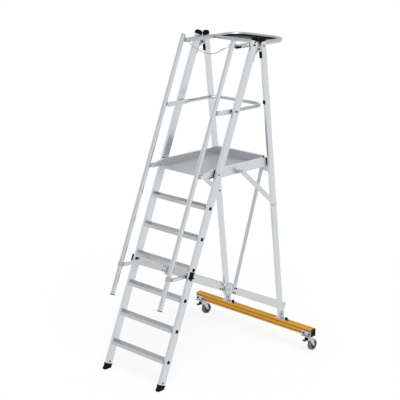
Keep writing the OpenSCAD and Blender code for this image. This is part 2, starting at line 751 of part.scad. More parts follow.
// Bosses on the leg that carry the rear ends of brace and strut
module leg_boss_set() on_rear() {
    cross_bar(half_width, brace_in - slide_gap, post_radius, brace_back, -brace_level);
    cross_bar(half_width, rear_strut_in - slide_gap, strut_boss_radius, strut_foot_back, -strut_foot_level);
    cross_bar(half_width, half_width + head_height, screw_radius, leg_back, leg_top_bolt);
}
module leg_bolt(level) on_rear() {
    below = (hinge_z + leg_back * leg_sin - level) / leg_cos;
    cross_bar(stile_in - head_height, stile_in, screw_radius, leg_back, -below);
}
module bracket_bolts() color("DarkSlateGray") {
    on_floor() for (x = [-stile_mid, stile_mid]) translate([x, 0, 0]) bracket_bolt();
    on_floor() for (x = [-castor_x, castor_x]) castor_bolt(x);
    both_sides() for (level = [leg_bolt_high, leg_bolt_low]) leg_bolt(level);
    both_sides() leg_boss_set();
}

// Castor saddles under and round the beam, with the swivel stem and its nut
plate_over = 16;
stem_nut_radius = 12;
stem_nut_height = 6;
stem_nut_top = swivel_bottom - fork_plate - slide_gap;
module castor_saddle() {
    translate([-saddle_length / 2, saddle_front - plate_over, saddle_bottom])
        cube([saddle_length, beam_depth + 2 * (plate_thickness + plate_over), plate_thickness]);
    for (y = [saddle_front, beam_y + beam_depth / 2])
        translate([-saddle_length / 2, y, saddle_bottom]) cube([saddle_length, plate_thickness, saddle_rise]);
    translate([0, castor_y, stem_nut_top - stem_nut_height])
        cylinder(h = saddle_bottom - stem_nut_top + stem_nut_height + weld, r = stem_radius);
    translate([0, castor_y, stem_nut_top - stem_nut_height]) cylinder(h = stem_nut_height, r = stem_nut_radius);
}
module castor_saddles() color("Gray") on_floor()
    for (x = [-castor_x, castor_x]) translate([x, 0, 0]) castor_saddle();

// Platform
deck_front = deck_pivot_y - deck_lead;
board_back = deck_pivot_y + platform_reach;
back_board_front = board_back - board_thickness;
deck_length = back_board_front - deck_front - fit_gap;
deck_cells = 10;
deck_cell = (deck_length - (deck_cells + 1) * tread_wall) / deck_cells;
module deck() color("DimGray") on_floor() translate([0, deck_front, deck_level])
    side_slab(-board_in, board_in) difference() {
        translate([0, -deck_height]) square([deck_length, deck_height]);
        for (k = [0 : deck_cells - 1])
            translate([tread_wall + k * (deck_cell + tread_wall), tread_wall - deck_height])
                square([deck_cell, deck_height - tread_wall - tread_roof]);
        for (y = [groove_pitch : 2 * groove_pitch : deck_length - groove_pitch])
            translate([y - groove_width / 2, -groove_depth]) square([groove_width, groove_depth + overrun]);
    }
// Slot that lets an eye tongue swing, and the eye pin across it
slot_back = 26;
slot_lead = 30;
module eye_slot(y, z, height) translate([lever_x - fork_gap, y - slot_lead, z - height])
    cube([2 * fork_gap, slot_lead + slot_back, 2 * height]);
board_eye = deck_pivot_y - arm_reach;
board_low = deck_level - board_drop;
board_high = deck_level + toe_rise;
back_high = deck_level + back_rise;
board_void = deck_pivot_y + 2 * tongue_radius;
module board() color("Silver") on_floor() {
    difference() {
        side_slab(board_in, board_out) difference() {
            union() {
                polygon([[board_eye, deck_pivot_z - nose_half],
                    [deck_pivot_y - nose_foot, deck_pivot_z - nose_half],
                    [deck_pivot_y, board_low], [board_back, board_low], [board_back, board_high],
                    [board_eye + nose_length, board_high], [board_eye, deck_pivot_z + nose_half]]);
                translate([board_eye, deck_pivot_z]) circle(r = nose_half);
            }
        }
        cross_bar(board_in + bolt_blind - slide_gap, board_out + overrun, pivot_radius + run_gap,
            deck_pivot_y, deck_pivot_z);
        eye_slot(board_eye, deck_pivot_z, board_high - board_low);
        translate([board_in + board_wall, board_void, board_low + board_wall])
            cube([board_thickness - 2 * board_wall, board_back, board_high - board_low - 2 * board_wall]);
    }
    cross_bar(board_in + weld, board_out - weld, eye_pin_radius, board_eye, deck_pivot_z);
}
module left_board() mirror([1, 0, 0]) board();
module right_board() board();
module back_board() color("Silver") on_floor() side_slab(-board_in, board_in) difference() {
    translate([back_board_front, board_low]) square([board_thickness, back_high - board_low]);
    translate([back_board_front + board_wall, board_low + board_wall])
        square([board_thickness - 2 * board_wall, back_high - board_low - 2 * board_wall]);
}
brace_pin_radius = 7;
module brace_post() on_floor() {
    cross_bar(board_out, brace_in - slide_gap, post_radius, brace_y, brace_z);
    cross_bar(board_out, brace_out + slide_gap + head_height, brace_pin_radius, brace_y, brace_z);
    cross_bar(brace_out + slide_gap, brace_out + slide_gap + head_height, post_radius, brace_y, brace_z);
}
module brace_posts() color("DarkSlateGray") both_sides() brace_post();

// Flat brace from the board to the leg, with its bolt head at the leg end
module brace() color("Silver") on_floor() translate([0, brace_y, brace_z]) {
    side_slab(brace_in, brace_out) rotate([0, 0, brace_angle]) difference() {
        union() {
            translate([0, -brace_width / 2]) square([brace_span, brace_width]);
            circle(r = brace_width / 2);
            translate([brace_span, 0]) circle(r = brace_width / 2);
        }
        circle(r = brace_pin_radius + run_gap);
    }
    cross_bar(brace_out - weld, brace_out + head_height, post_radius,
        brace_foot_y - brace_y, brace_foot_z - brace_z);
}
module left_brace() mirror([1, 0, 0]) brace();
module right_brace() brace();

// Folding strut: front section with its hub disc, rear section with disc, pin and cover
strut_wall = 2.5;
hub_rim = 0.5;
rivet_start = 64;
rivet_pitch = 24;
rivet_rise_share = 0.3;
module rivets(from, side) for (k = [0, 1], rise = [-rivet_rise_share, rivet_rise_share])
    cross_bar(from, from + rivet_height, rivet_radius,
        side * (rivet_start + k * rivet_pitch), rise * strut_height);
// Open end channel of a strut section, seen from the side
module strut_bar(from, length) difference() {
    side_slab(from, from + strut_thickness) translate([0, -strut_height / 2]) square([length, strut_height]);
    translate([from + strut_wall, hub_radius, strut_wall - strut_height / 2])
        cube([strut_thickness - 2 * strut_wall, length - 2 * hub_radius, strut_height - 2 * strut_wall]);
}
module strut_front() color("Silver") on_floor() translate([0, strut_y, strut_z]) rotate([strut_angle, 0, 0])
    difference() {
        union() {
            translate([0, -strut_lead, 0]) strut_bar(strut_in, strut_front_length + strut_lead);
            cross_bar(strut_in, hub_split, hub_radius, strut_front_length, 0);
            translate([0, strut_front_length, 0]) rivets(strut_out - weld, -1);
        }
        cross_bar(strut_in - overrun, strut_out + overrun, pivot_radius + run_gap, 0, 0);
        cross_bar(strut_in - overrun, hub_split + overrun, hub_pin_radius + run_gap, strut_front_length, 0);
    }
module left_strut_front() mirror([1, 0, 0]) strut_front();
module right_strut_front() strut_front();
module strut_rear() color("Silver") on_floor() translate([0, strut_y, strut_z]) rotate([strut_angle, 0, 0])
    translate([0, strut_front_length, 0]) {
        strut_bar(rear_strut_in, strut_rear_length + strut_lead);
        cross_bar(rear_strut_in, rear_strut_out + hub_rim, hub_radius, 0, 0);
        cross_bar(strut_in, rear_strut_in + weld, hub_pin_radius, 0, 0);
        cross_bar(rear_strut_out, rear_strut_out + head_height, hub_boss_radius, 0, 0);
        rivets(rear_strut_out - weld, 1);
        cross_bar(rear_strut_out - weld, rear_strut_out + head_height, head_radius, strut_rear_length, 0);
    }
module left_strut_rear() mirror([1, 0, 0]) strut_rear();
module right_strut_rear() strut_rear();

// U shaped rail: two side tubes with their bolt holes, bends and a back bar
module u_rail(radius, wall, start, back, bend, bolt, z) on_floor() translate([0, 0, z]) {
    both_sides() difference() {
        translate([lever_x, start, 0]) rotate([-90, 0, 0]) pipe(radius, wall, back - bend - start);
        cross_bar(lever_x, half_width, pivot_radius + run_gap, bolt, 0);
    }
    both_sides() translate([lever_x - bend, back - bend, 0]) intersection() {
        difference() {
            rotate_extrude() translate([bend, 0]) circle(r = radius);
            rotate_extrude() translate([bend, 0]) circle(r = radius - wall);
        }
        translate([0, 0, -2 * radius]) cube([2 * bend + radius, 2 * bend + radius, 4 * radius]);
    }
    translate([bend - lever_x, back, 0]) rotate([0, 90, 0]) pipe(radius, wall, 2 * (lever_x - bend));
}
knee_back = knee_y + knee_reach;
sleeve_end = knee_y + sleeve_back;
knee_eye = knee_y - arm_reach;
module knee_rail() color("Silver")
    u_rail(knee_diameter / 2, pipe_wall, sleeve_end - sleeve_depth, knee_back, knee_bend, knee_y, knee_z);
bore_gap = 1;
sleeve_bore_end = sleeve_end - sleeve_depth - bore_gap;
module knee_sleeve() on_floor() {
    difference() {
        side_slab(board_in, board_out) {
            translate([knee_eye, knee_z - sleeve_height / 2]) square([sleeve_end - knee_eye, sleeve_height]);
            translate([knee_eye, knee_z]) circle(r = sleeve_height / 2);
        }
        cross_bar(board_in + bolt_blind - slide_gap, board_out + overrun, pivot_radius + run_gap,
            knee_y, knee_z);
        eye_slot(knee_eye, knee_z, sleeve_height);
        translate([lever_x, sleeve_bore_end, knee_z]) rotate([-90, 0, 0])
            cylinder(h = sleeve_depth + 2 * overrun, r = knee_diameter / 2 + fit_gap);
    }
    cross_bar(board_in + weld, board_out - weld, eye_pin_radius, knee_eye, knee_z);
}
module knee_sleeves() color("Silver") both_sides() knee_sleeve();

hoop_eye = hoop_y - arm_reach;
hoop_start = hoop_eye + slot_back + insert_length;
hoop_back = hoop_y + hoop_reach;
module top_hoop() color("Silver") {
    u_rail(hoop_diameter / 2, pipe_wall, hoop_start, hoop_back, hoop_bend, hoop_y, hoop_z);
    on_floor() difference() {
        cross_bar(-lever_x, lever_x, cross_diameter / 2, hoop_y + cross_back, hoop_z);
        for (x = [-lever_x, lever_x]) translate([x, hoop_y, hoop_z]) rotate([-90, 0, 0])
            cylinder(h = hoop_reach, r = (hoop_diameter - pipe_wall) / 2);
    }
}
insert_step = 1;
insert_radius = hoop_diameter / 2 - insert_step;
insert_plug = hoop_diameter / 2 - pipe_wall - fit_gap;
insert_cheek = insert_radius - insert_step;
module hoop_insert() on_floor() {
    difference() {
        union() {
            translate([lever_x, hoop_eye, hoop_z]) rotate([-90, 0, 0])
                cylinder(h = hoop_start - hoop_eye, r = insert_radius);
            cross_bar(lever_x - insert_radius / 2, lever_x + insert_radius / 2, insert_cheek, hoop_eye, hoop_z);
            translate([lever_x, hoop_eye, hoop_z]) rotate([-90, 0, 0])
                cylinder(h = hoop_start - hoop_eye + insert_depth, r = insert_plug);
        }
        eye_slot(hoop_eye, hoop_z, hoop_diameter);
    }
    cross_bar(lever_x - insert_radius / 2 + weld, lever_x + insert_radius / 2 - weld, eye_pin_radius,
        hoop_eye, hoop_z);
}
module hoop_inserts() color("Black") both_sides() hoop_insert();
// Tray outline, square in front and round behind
module tray_outline(inset) translate([inset - tray_half, inset]) {
    width = 2 * tray_half - 2 * inset;
    length = tray_length - 2 * inset;
    radius = tray_round - inset;
    square([width, length - radius]);
    translate([radius, 0]) square([width - 2 * radius, length]);
    for (x = [radius, width - radius]) translate([x, length - radius]) circle(r = radius);
}
tray_bottom = hoop_z + tray_rise - tray_depth;
module tray_floor() color("Black") on_floor() translate([0, tray_front, tray_bottom])
    linear_extrude(height = tray_wall) tray_outline(0);
module tray_rim() color("Black") on_floor() translate([0, tray_front, tray_bottom + tray_wall])
    linear_extrude(height = tray_depth - tray_wall) difference() {
        tray_outline(0);
        tray_outline(tray_wall);
    }

arm_eye = arm_y - arm_reach;
arm_swell = 1;
module arm() color("Silver") on_floor() {
    difference() {
        side_slab(board_in, board_out) {
            translate([arm_eye, arm_height - arm_section / 2]) square([arm_reach, arm_section]);
            for (y = [arm_eye, arm_y]) translate([y, arm_height]) circle(r = arm_section / 2 + arm_swell);
        }
        cross_bar(board_in + bolt_blind - slide_gap, board_out + overrun, pivot_radius + run_gap,
            arm_y, arm_height);
        eye_slot(arm_eye, arm_height, arm_section);
    }
    cross_bar(board_in + weld, board_out - weld, eye_pin_radius, arm_eye, arm_height);
}
module left_arm() mirror([1, 0, 0]) arm();
module right_arm() arm();

// Handrails with their eyes
module handrail() color("Silver") on_front()
    translate([handrail_x, handrail_back, handrail_start]) pipe(handrail_radius, pipe_wall, handrail_length);
module left_handrail() mirror([1, 0, 0]) handrail();
module right_handrail() handrail();
collar_radius = handrail_radius + collar_wall;
lug_radius = 5;
lug_offset = 16;
lug_reach = 22;
saddle_lead = 6;
lug_back = handrail_back + lug_offset;
lug_in = handrail_x - collar_radius - lug_reach;
hoop_eye_up = hoop_up - eye_fall;
// Eye on a collar that begins a distance behind the handrail axis
module handrail_eye(up, behind) difference() {
    union() {
        intersection() {
            translate([handrail_x, handrail_back, up - eye_fall - collar_length / 2])
                cylinder(h = collar_length, r = collar_radius);
            translate([handrail_x - collar_radius, handrail_back + behind, up - eye_fall - collar_length])
                cube([2 * collar_radius, 2 * collar_radius, 2 * collar_length]);
        }
        side_slab(lever_x - tongue_thickness / 2, lever_x + tongue_thickness / 2) {
            translate([handrail_back, up - eye_fall - tongue_radius]) square([eye_reach, 2 * tongue_radius]);
            translate([eye_back, up - eye_fall]) circle(r = tongue_radius);
        }
    }
    translate([handrail_x, handrail_back, up - eye_fall - collar_length])
        cylinder(h = 2 * collar_length, r = handrail_radius + fit_gap);
    cross_bar(lever_x - tongue_thickness, lever_x + tongue_thickness, eye_pin_radius + run_gap,
        eye_back, up - eye_fall);
}
module handrail_eyes() color("Gray") both_sides() on_front() {
    handrail_eye(arm_up, -collar_radius);
    for (up = [deck_up, knee_up, hoop_up]) handrail_eye(up, saddle_lead);
    cross_bar(lug_in, handrail_x - handrail_radius + pipe_wall, lug_radius, lug_back, hoop_eye_up);
}
module rail_cap() {
    cylinder(h = rail_cap_height, r = handrail_radius + cap_lip);
    translate([0, 0, -cap_plug]) cylinder(h = cap_plug + weld, r = handrail_radius - pipe_wall - fit_gap);
}
module handrail_caps() color("Gray") both_sides() on_front() {
    translate([handrail_x, handrail_back, handrail_start + handrail_length]) rail_cap();
    translate([handrail_x, handrail_back, handrail_start]) mirror([0, 0, 1]) rail_cap();
}

// Safety cord across the entry: route from the left lug to the ferrule, across and up from the lug line
lug_y = front_y(hoop_eye_up, lug_back);
lug_z = front_z(hoop_eye_up, lug_back);
cord_route = [[-244, 0], [-236, -10], [-222, -20], [-204, -32], [-180, -46], [-150, -60], [-120, -71], [-90, -80],
    [-60, -87], [-30, -92], [0, -94], [30, -93], [60, -88], [90, -79], [116, -68], [140, -55], [156, -46]];
cord_sides = 10;
cord_last = len(cord_route) - 1;
function cord_point(k) = [cord_route[k][0], lug_y - mid_y, lug_z + cord_route[k][1]];
function cord_step(k) = cord_route[min(k + 1, cord_last)] - cord_route[max(k - 1, 0)];
function cord_rise(k) = atan2(cord_step(k)[1], cord_step(k)[0]);
function cord_ring(k) = [for (side = [0 : cord_sides - 1])
    let (turn = 360 * side / cord_sides)
    let (out = cord_diameter / 2 * cos(turn), across = cord_diameter / 2 * sin(turn))
    cord_point(k) + [-out * sin(cord_rise(k)), across, out * cos(cord_rise(k))]];
cord_points = [for (k = [0 : cord_last]) each cord_ring(k)];
cord_sidewalls = [for (k = [0 : cord_last - 1], side = [0 : cord_sides - 1])
    let (next = (side + 1) % cord_sides)
    [k * cord_sides + side, k * cord_sides + next, (k + 1) * cord_sides + next, (k + 1) * cord_sides + side]];
cord_ends = [[for (side = [cord_sides - 1 : -1 : 0]) side],
    [for (side = [0 : cord_sides - 1]) cord_last * cord_sides + side]];
module safety_cord() color("White") polyhedron(points = cord_points, faces = concat(cord_sidewalls, cord_ends));

ferrule_radius = 7;
ferrule_length = 38;
ferrule_overlap = 10;
hook_radius = 3;
hook_bend = 11;
hook_end = cord_route[cord_last];
hook_inset = 6;
hook_seat = [lug_in + hook_inset, lug_radius + hook_radius + fit_gap - hook_bend];
hook_foot = hook_seat - [0, hook_bend];
hook_tilt = atan2(hook_foot[1] - hook_end[1], hook_foot[0] - hook_end[0]);
hook_span = norm(hook_foot - hook_end);
module snap_hook() color("SteelBlue") translate([0, lug_y - mid_y, lug_z]) {
    translate([hook_end[0], 0, hook_end[1]]) rotate([0, 90 - hook_tilt, 0]) {
        translate([0, 0, -ferrule_overlap]) cylinder(h = ferrule_length, r = ferrule_radius);
        cylinder(h = hook_span, r = hook_radius);
    }
    translate([hook_seat[0], 0, hook_seat[1]]) rotate([0, 90, 0])
        rotate_extrude() translate([hook_bend, 0]) circle(r = hook_radius);
}

// Castors
fork_half = 24;
axle_boss = 9;
pedal_pivot_y = -32;
pedal_drop = 14;
pedal_pivot_z = swivel_bottom - pedal_drop;
axle_overhang = 3;
pedal_pin_radius = 4;
pedal_boss = 8;
module fork_side() polygon([
    [pedal_pivot_y - pedal_boss, swivel_bottom - weld], [fork_half, swivel_bottom - weld],
    [castor_trail + axle_boss, wheel_axle_z + axle_boss], [castor_trail + axle_boss, wheel_axle_z - axle_boss],
    [castor_trail - axle_boss, wheel_axle_z - axle_boss],
    [-fork_half / 2, pedal_pivot_z - 2 * pedal_boss], [pedal_pivot_y - pedal_boss, pedal_pivot_z - pedal_boss]]);
module fork() color("Silver") translate([0, castor_y, 0]) difference() {
    union() {
        translate([0, 0, swivel_bottom - weld]) cylinder(h = swivel_height + weld, r = swivel_radius);
        translate([-fork_out, -fork_half, swivel_bottom - fork_plate])
            cube([2 * fork_out, 2 * fork_half, fork_plate]);
        both_sides() side_slab(fork_in, fork_out) fork_side();
        cross_bar(-fork_out - axle_overhang, fork_out + axle_overhang, axle_radius, castor_trail, wheel_axle_z);
        cross_bar(-fork_out, fork_out, pedal_pin_radius, pedal_pivot_y, pedal_pivot_z);
    }
    translate([0, 0, swivel_bottom - fork_plate - overrun])
        cylinder(h = swivel_height + fork_plate + 2 * overrun, r = stem_radius + run_gap);
}
module left_fork() on_floor() translate([-castor_x, 0, 0]) fork();
module right_fork() on_floor() translate([castor_x, 0, 0]) fork();
module tyre() color("DarkGray") difference() {
    cross_bar(-wheel_width / 2, wheel_width / 2, wheel_radius, axle_y, wheel_axle_z);
    cross_bar(-wheel_width, wheel_width, wheel_core_radius, axle_y, wheel_axle_z);
}
module left_tyre() on_floor() translate([-castor_x, 0, 0]) tyre();
module right_tyre() on_floor() translate([castor_x, 0, 0]) tyre();
hub_half = wheel_width / 2;
core_dish = 6;
module wheel() color("DimGray") difference() {
    cross_bar(-hub_half, hub_half, wheel_core_radius, axle_y, wheel_axle_z);
    cross_bar(-wheel_width, wheel_width, axle_radius + run_gap, axle_y, wheel_axle_z);
    for (from = [-hub_half - overrun, hub_half - core_dish]) difference() {
        cross_bar(from, from + core_dish + overrun, wheel_core_radius - core_dish, axle_y, wheel_axle_z);
        cross_bar(from - weld, from + core_dish + 2 * overrun, 2 * axle_radius + run_gap, axle_y, wheel_axle_z);
    }
}
module left_wheel() on_floor() translate([-castor_x, 0, 0]) wheel();
module right_wheel() on_floor() translate([castor_x, 0, 0]) wheel();
pedal_fall = 8;
module pedal() color("Black") translate([0, castor_y + pedal_pivot_y, pedal_pivot_z])
    side_slab(-pedal_width / 2, pedal_width / 2) difference() {
        union() {
            circle(r = pedal_boss);
            polygon([[0, pedal_boss], [-pedal_length, pedal_thickness - pedal_fall], [-pedal_length, -pedal_fall],
                [0, pedal_boss - 2 * pedal_thickness]]);
        }
        circle(r = pedal_pin_radius + run_gap);
    }
module left_pedal() on_floor() translate([-castor_x, 0, 0]) pedal();
module right_pedal() on_floor() translate([castor_x, 0, 0]) pedal();

left_stile();
right_stile();
tread_1();
tread_2();
tread_3();
tread_4();
tread_5();
tread_6();
tread_plugs();
feet();
stile_caps();
hinge_fronts();
stile_clamps();
front_spacers();
pivot_bolts();
left_leg();
right_leg();
leg_caps();
hinge_rears();
leg_pads();
lower_crossbar();
diagonal_stay();
roll_beam();
beam_caps();
beam_brackets();
bracket_bolts();
castor_saddles();
deck();
left_board();
right_board();
back_board();
brace_posts();
left_brace();
right_brace();
left_strut_front();
right_strut_front();
left_strut_rear();
right_strut_rear();
knee_rail();
knee_sleeves();
top_hoop();
hoop_inserts();
tray_floor();
tray_rim();
left_arm();
right_arm();
left_handrail();
right_handrail();
handrail_eyes();
handrail_caps();
safety_cord();
snap_hook();
left_fork();
right_fork();
left_tyre();
right_tyre();
left_wheel();
right_wheel();
left_pedal();
right_pedal();
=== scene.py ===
import json
import math
import bpy
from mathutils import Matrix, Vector


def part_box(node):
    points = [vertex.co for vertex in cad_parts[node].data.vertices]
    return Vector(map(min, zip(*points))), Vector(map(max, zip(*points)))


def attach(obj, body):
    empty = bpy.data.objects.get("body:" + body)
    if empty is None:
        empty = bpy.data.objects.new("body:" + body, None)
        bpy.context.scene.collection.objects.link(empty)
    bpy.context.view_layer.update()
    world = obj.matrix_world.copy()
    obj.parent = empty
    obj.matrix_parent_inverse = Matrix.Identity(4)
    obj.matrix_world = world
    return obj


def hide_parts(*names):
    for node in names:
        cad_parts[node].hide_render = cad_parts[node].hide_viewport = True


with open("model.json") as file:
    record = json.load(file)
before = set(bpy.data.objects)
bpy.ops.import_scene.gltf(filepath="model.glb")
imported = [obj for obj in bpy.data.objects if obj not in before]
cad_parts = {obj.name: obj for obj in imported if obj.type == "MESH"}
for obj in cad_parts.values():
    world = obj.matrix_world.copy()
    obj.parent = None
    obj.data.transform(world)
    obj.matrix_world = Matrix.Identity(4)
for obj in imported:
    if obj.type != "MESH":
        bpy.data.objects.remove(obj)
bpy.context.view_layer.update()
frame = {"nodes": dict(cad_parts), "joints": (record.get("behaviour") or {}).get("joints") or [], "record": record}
scene = bpy.context.scene
nodes = frame["nodes"]
joints = {joint["name"]: joint for joint in frame["joints"]}
print("frame loaded:", len(nodes), "solids")

# camera and studio, seen from the front right and a little above
cameraLook = {
    "place": (6.852, -6.951, 4.05),
    "turn": (74.76, 0.0, 44.52),
    "lens": 107.8,
    "sensor": 36.0,
    "farthest": 500.0,
}
studio = {
    "worldLevel": 0.6,  # light on the object, the background itself stays white
    "sunPlace": (6.0, -2.0, 8.0),
    "sunTurn": (32.0, 0.0, 62.0),
    "sunPower": 1.6,
    "sunSpread": 40.0,
    "cardPlace": (2.0, -13.0, 4.0),
    "cardTurn": (-90.0, 0.0, 0.0),
    "cardSize": 26.0,
    "cardTone": 0.72,
    "floorSize": 240.0,
    "floorTone": 0.98,
    "floorRough": 0.9,
    "floorGlow": 0.8,
}
black = (0.0, 0.0, 0.0, 1.0)
white = (1.0, 1.0, 1.0, 1.0)


def radians(turn):
    return tuple(math.radians(angle) for angle in turn)


class Wire:
    # a shader socket that adds, subtracts and multiplies like a number
    def __init__(self, tree, socket=None):
        self.tree = tree
        self.socket = socket

    def node(self, kind, settings=None, links=None, outlet=0):
        made = self.tree.nodes.new(kind)
        for key, value in (settings or {}).items():
            if key == "stops":  # a ramp's places and colours
                for stop, (place, colour) in zip(made.color_ramp.elements, value):
                    stop.position = place
                    stop.color = colour
            else:
                setattr(made, key, value)
        for key, value in (links or {}).items():
            if isinstance(value, Wire):
                self.tree.links.new(value.socket, made.inputs[key])
            else:
                made.inputs[key].default_value = value
        return Wire(self.tree, made.outputs[outlet])

    def work(self, operation, first, second):
        return self.node("ShaderNodeMath", {"operation": operation}, {0: first, 1: second})

    def size(self):  # without its sign
        return self.node("ShaderNodeMath", {"operation": "ABSOLUTE"}, {0: self})

    def part(self, axis):  # one axis of a place or direction
        return self.node("ShaderNodeSeparateXYZ", {}, {0: self}, axis)

    def __add__(self, other):
        return self.work("ADD", self, other)

    def __radd__(self, other):
        return self.work("ADD", other, self)

    def __sub__(self, other):
        return self.work("SUBTRACT", self, other)

    def __rsub__(self, other):
        return self.work("SUBTRACT", other, self)

    def __mul__(self, other):
        return self.work("MULTIPLY", self, other)

    def __rmul__(self, other):
        return self.work("MULTIPLY", other, self)


def newFinish(name, **constants):
    # an empty finish: its material, its main shader and a wire to build on
    material = bpy.data.materials.new(name)
    material.use_nodes = True
    tree = material.node_tree
    shader = tree.nodes["Principled BSDF"]
    for key, value in constants.items():
        shader.inputs[key.replace("_", " ")].default_value = value
    return material, shader, Wire(tree)


def feed(shader, **links):
    for key, wire in links.items():
        wire.tree.links.new(wire.socket, shader.inputs[key.replace("_", " ")])


def showOnly(wire):
    # the wire's shader becomes the whole surface
    wire.tree.links.new(wire.socket, wire.tree.nodes["Material Output"].inputs["Surface"])


def placeOn(wire):
    return wire.node("ShaderNodeTexCoord", outlet="Object")


def noise(place, scale, detail, roughness):
    return place.node("ShaderNodeTexNoise", {}, {"Vector": place, "Scale": scale, "Detail": detail,
                                                 "Roughness": roughness})


def stretch(place, turn, scale):
    turned = place.node("ShaderNodeMapping", {}, {"Vector": place, "Rotation": radians(turn)})
    return place.node("ShaderNodeMapping", {}, {"Vector": turned, "Scale": scale})


def ramp(value, start, end):
    return value.node("ShaderNodeValToRGB", {"stops": [(start, black), (end, white)]}, {"Fac": value})


def band(value, centre, half, soft):
    # one inside a band round the centre, falling to nothing at its soft edges
    away = (value - centre).size()
    return value.node("ShaderNodeMapRange", {"interpolation_type": "SMOOTHSTEP"},
                      {"Value": away, 1: half + soft, 2: half, 3: 0.0, 4: 1.0})


def blendColour(factor, first, second):
    return factor.node("ShaderNodeMix", {"data_type": "RGBA"}, {"Factor": factor, 6: first, 7: second}, 2)


def bump(height, strength, distance):
    return height.node("ShaderNodeBump", {}, {"Strength": strength, "Distance": distance, "Height": height})


def shade(colour, factor, lift=0.0):
    return tuple(min(1.0, part * factor + lift) for part in colour) + (1.0,)


# drawn metal: fine streaks along one direction, broad tarnish clouds, a few rubbed specks, and on some pieces
# painted shade on the sides that face up
metalLook = {
    "streakNoise": (1.0, 4.0, 0.6),  # scale, detail and roughness
    "cloudNoise": (5.0, 4.0, 0.6),
    "speckNoise": (420.0, 2.0, 0.5),
    "speckStops": (0.62, 0.74),
    "streakTone": 0.5,
    "cloudTone": 0.5,
    "speckTone": 0.25,
    "darkest": 0.90,
    "lightest": 1.06,
    "streakRough": 0.30,
    "cloudRough": 0.18,
    "speckRough": 0.05,
    "bumpStrength": 0.35,
    "upperRange": (-0.2, 0.8),  # how far a side has to face up to take the painted shade
    # colour factor of the painted shade on upward sides
    "paintedShadeTone": 0.40,
}


def metalFinish(name, colour, turn=(0.0, 0.0, 0.0), streaks=(260.0, 260.0, 2.5), rough=0.36, metal=1.0,
                bumpDepth=0.00012, paintedUpperShade=0.0):
    look = metalLook
    material, shader, wire = newFinish(name, Metallic=metal)
    place = placeOn(wire)
    streak = noise(stretch(place, turn, streaks), *look["streakNoise"])
    cloud = noise(place, *look["cloudNoise"])
    speck = ramp(noise(place, *look["speckNoise"]), *look["speckStops"])
    tone = 0.5 + look["streakTone"] * (streak - 0.5) + look["cloudTone"] * (cloud - 0.5)
    tone = tone - look["speckTone"] * speck
    plain = blendColour(tone, shade(colour, look["darkest"]), shade(colour, look["lightest"]))
    # painted shade: sides facing up are darkened in the colour, standing in for how the light falls on them
    if paintedUpperShade:
        upward = wire.node("ShaderNodeTexCoord", outlet="Normal").part("Z")
        start, end = look["upperRange"]
        upper = place.node("ShaderNodeMapRange", {}, {"Value": upward, 1: start, 2: end})
        plain = blendColour(paintedUpperShade * upper, plain, shade(colour, look["paintedShadeTone"]))
    wear = look["streakRough"] * (streak - 0.5) + look["cloudRough"] * (cloud - 0.5)
    feed(shader,
         Base_Color=plain,
         Roughness=rough + wear + look["speckRough"] * speck,
         Normal=bump(streak, look["bumpStrength"], bumpDepth))
    return material


# moulded plastic: fine spark grain, soft flow marks, a little pale dust
plasticLook = {
    "grainDetail": (2.0, 0.5),
    "flowNoise": (14.0, 3.0, 0.55),
    "dustStops": (0.45, 0.8),
    "dustTone": 1.35,
    "dustLift": 0.012,
    "grainTone": 0.25,
    "flowRough": 0.22,
    "grainRough": 0.12,
    "bumpStrength": 0.4,
}


def plasticFinish(name, colour, rough=0.5, grain=900.0, grainDepth=0.00018, dust=0.5, **constants):
    look = plasticLook
    material, shader, wire = newFinish(name, **constants)
    place = placeOn(wire)
    fine = noise(place, grain, *look["grainDetail"])
    flow = noise(place, *look["flowNoise"])
    dusty = dust * ramp(flow, *look["dustStops"]) + look["grainTone"] * (fine - 0.5)
    feed(shader,
         Base_Color=blendColour(dusty, shade(colour, 1.0), shade(colour, look["dustTone"], look["dustLift"])),
         Roughness=rough + look["flowRough"] * (flow - 0.5) + look["grainRough"] * (fine - 0.5),
         Normal=bump(fine, look["bumpStrength"], grainDepth))
    return material


# braided cord: two crossing waves along its length
braidLook = {
    "colour": (0.30, 0.37, 0.41),
    "waves": 420.0,
    "crossTurn": (0.0, 90.0, 0.0),
    "rough": 0.75,
    "darkest": 0.72,
    "lightest": 1.05,
    "bumpStrength": 0.6,
    "bumpDepth": 0.0006,
}


def braidFinish(name):
    look = braidLook
    colour = look["colour"]
    material, shader, wire = newFinish(name, Roughness=look["rough"])
    place = placeOn(wire)
    slant = {"bands_direction": "DIAGONAL"}
    turned = place.node("ShaderNodeMapping", {}, {"Vector": place, "Rotation": radians(look["crossTurn"])})
    first = place.node("ShaderNodeTexWave", slant, {"Vector": place, "Scale": look["waves"]}, "Fac")
    second = place.node("ShaderNodeTexWave", slant, {"Vector": turned, "Scale": look["waves"]}, "Fac")
    weave = first * second
    feed(shader,
         Base_Color=blendColour(weave, shade(colour, look["darkest"]), shade(colour, look["lightest"])),
         Normal=bump(weave, look["bumpStrength"], look["bumpDepth"]))
    return material


# gold anodised beam: drawn streaks, tarnish clouds and painted shade in the grooves along its length
beamLook = {
    "colour": (0.68, 0.315, 0.022),
    "metal": 0.6,
    "grooves": (0.28, 0.72),  # shares of the beam's height
    "grooveBand": (0.0030, 0.0010),  # half width and soft edge
    "topDepth": 0.0045,
    "topBand": (0.0035, 0.0012),
    "backBand": (0.0100, 0.0020),
    "backShare": 0.55,
    "streaks": (2.5, 260.0, 260.0),
    "streakNoise": (1.0, 4.0, 0.6),
    "cloudNoise": (9.0, 4.0, 0.6),
    "tone": 0.55,
    "streakTone": 0.5,
    "cloudTone": 0.6,
    "darkest": 0.84,
    "lightest": 1.12,
    "grooveShade": 0.14,
    "paintedGrooveShare": 0.62,
    "rough": 0.38,
    "streakRough": 0.30,
    "cloudRough": 0.18,
    "grooveRough": 0.25,
    "bumpStrength": 0.35,
    "bumpDepth": 0.00012,
}


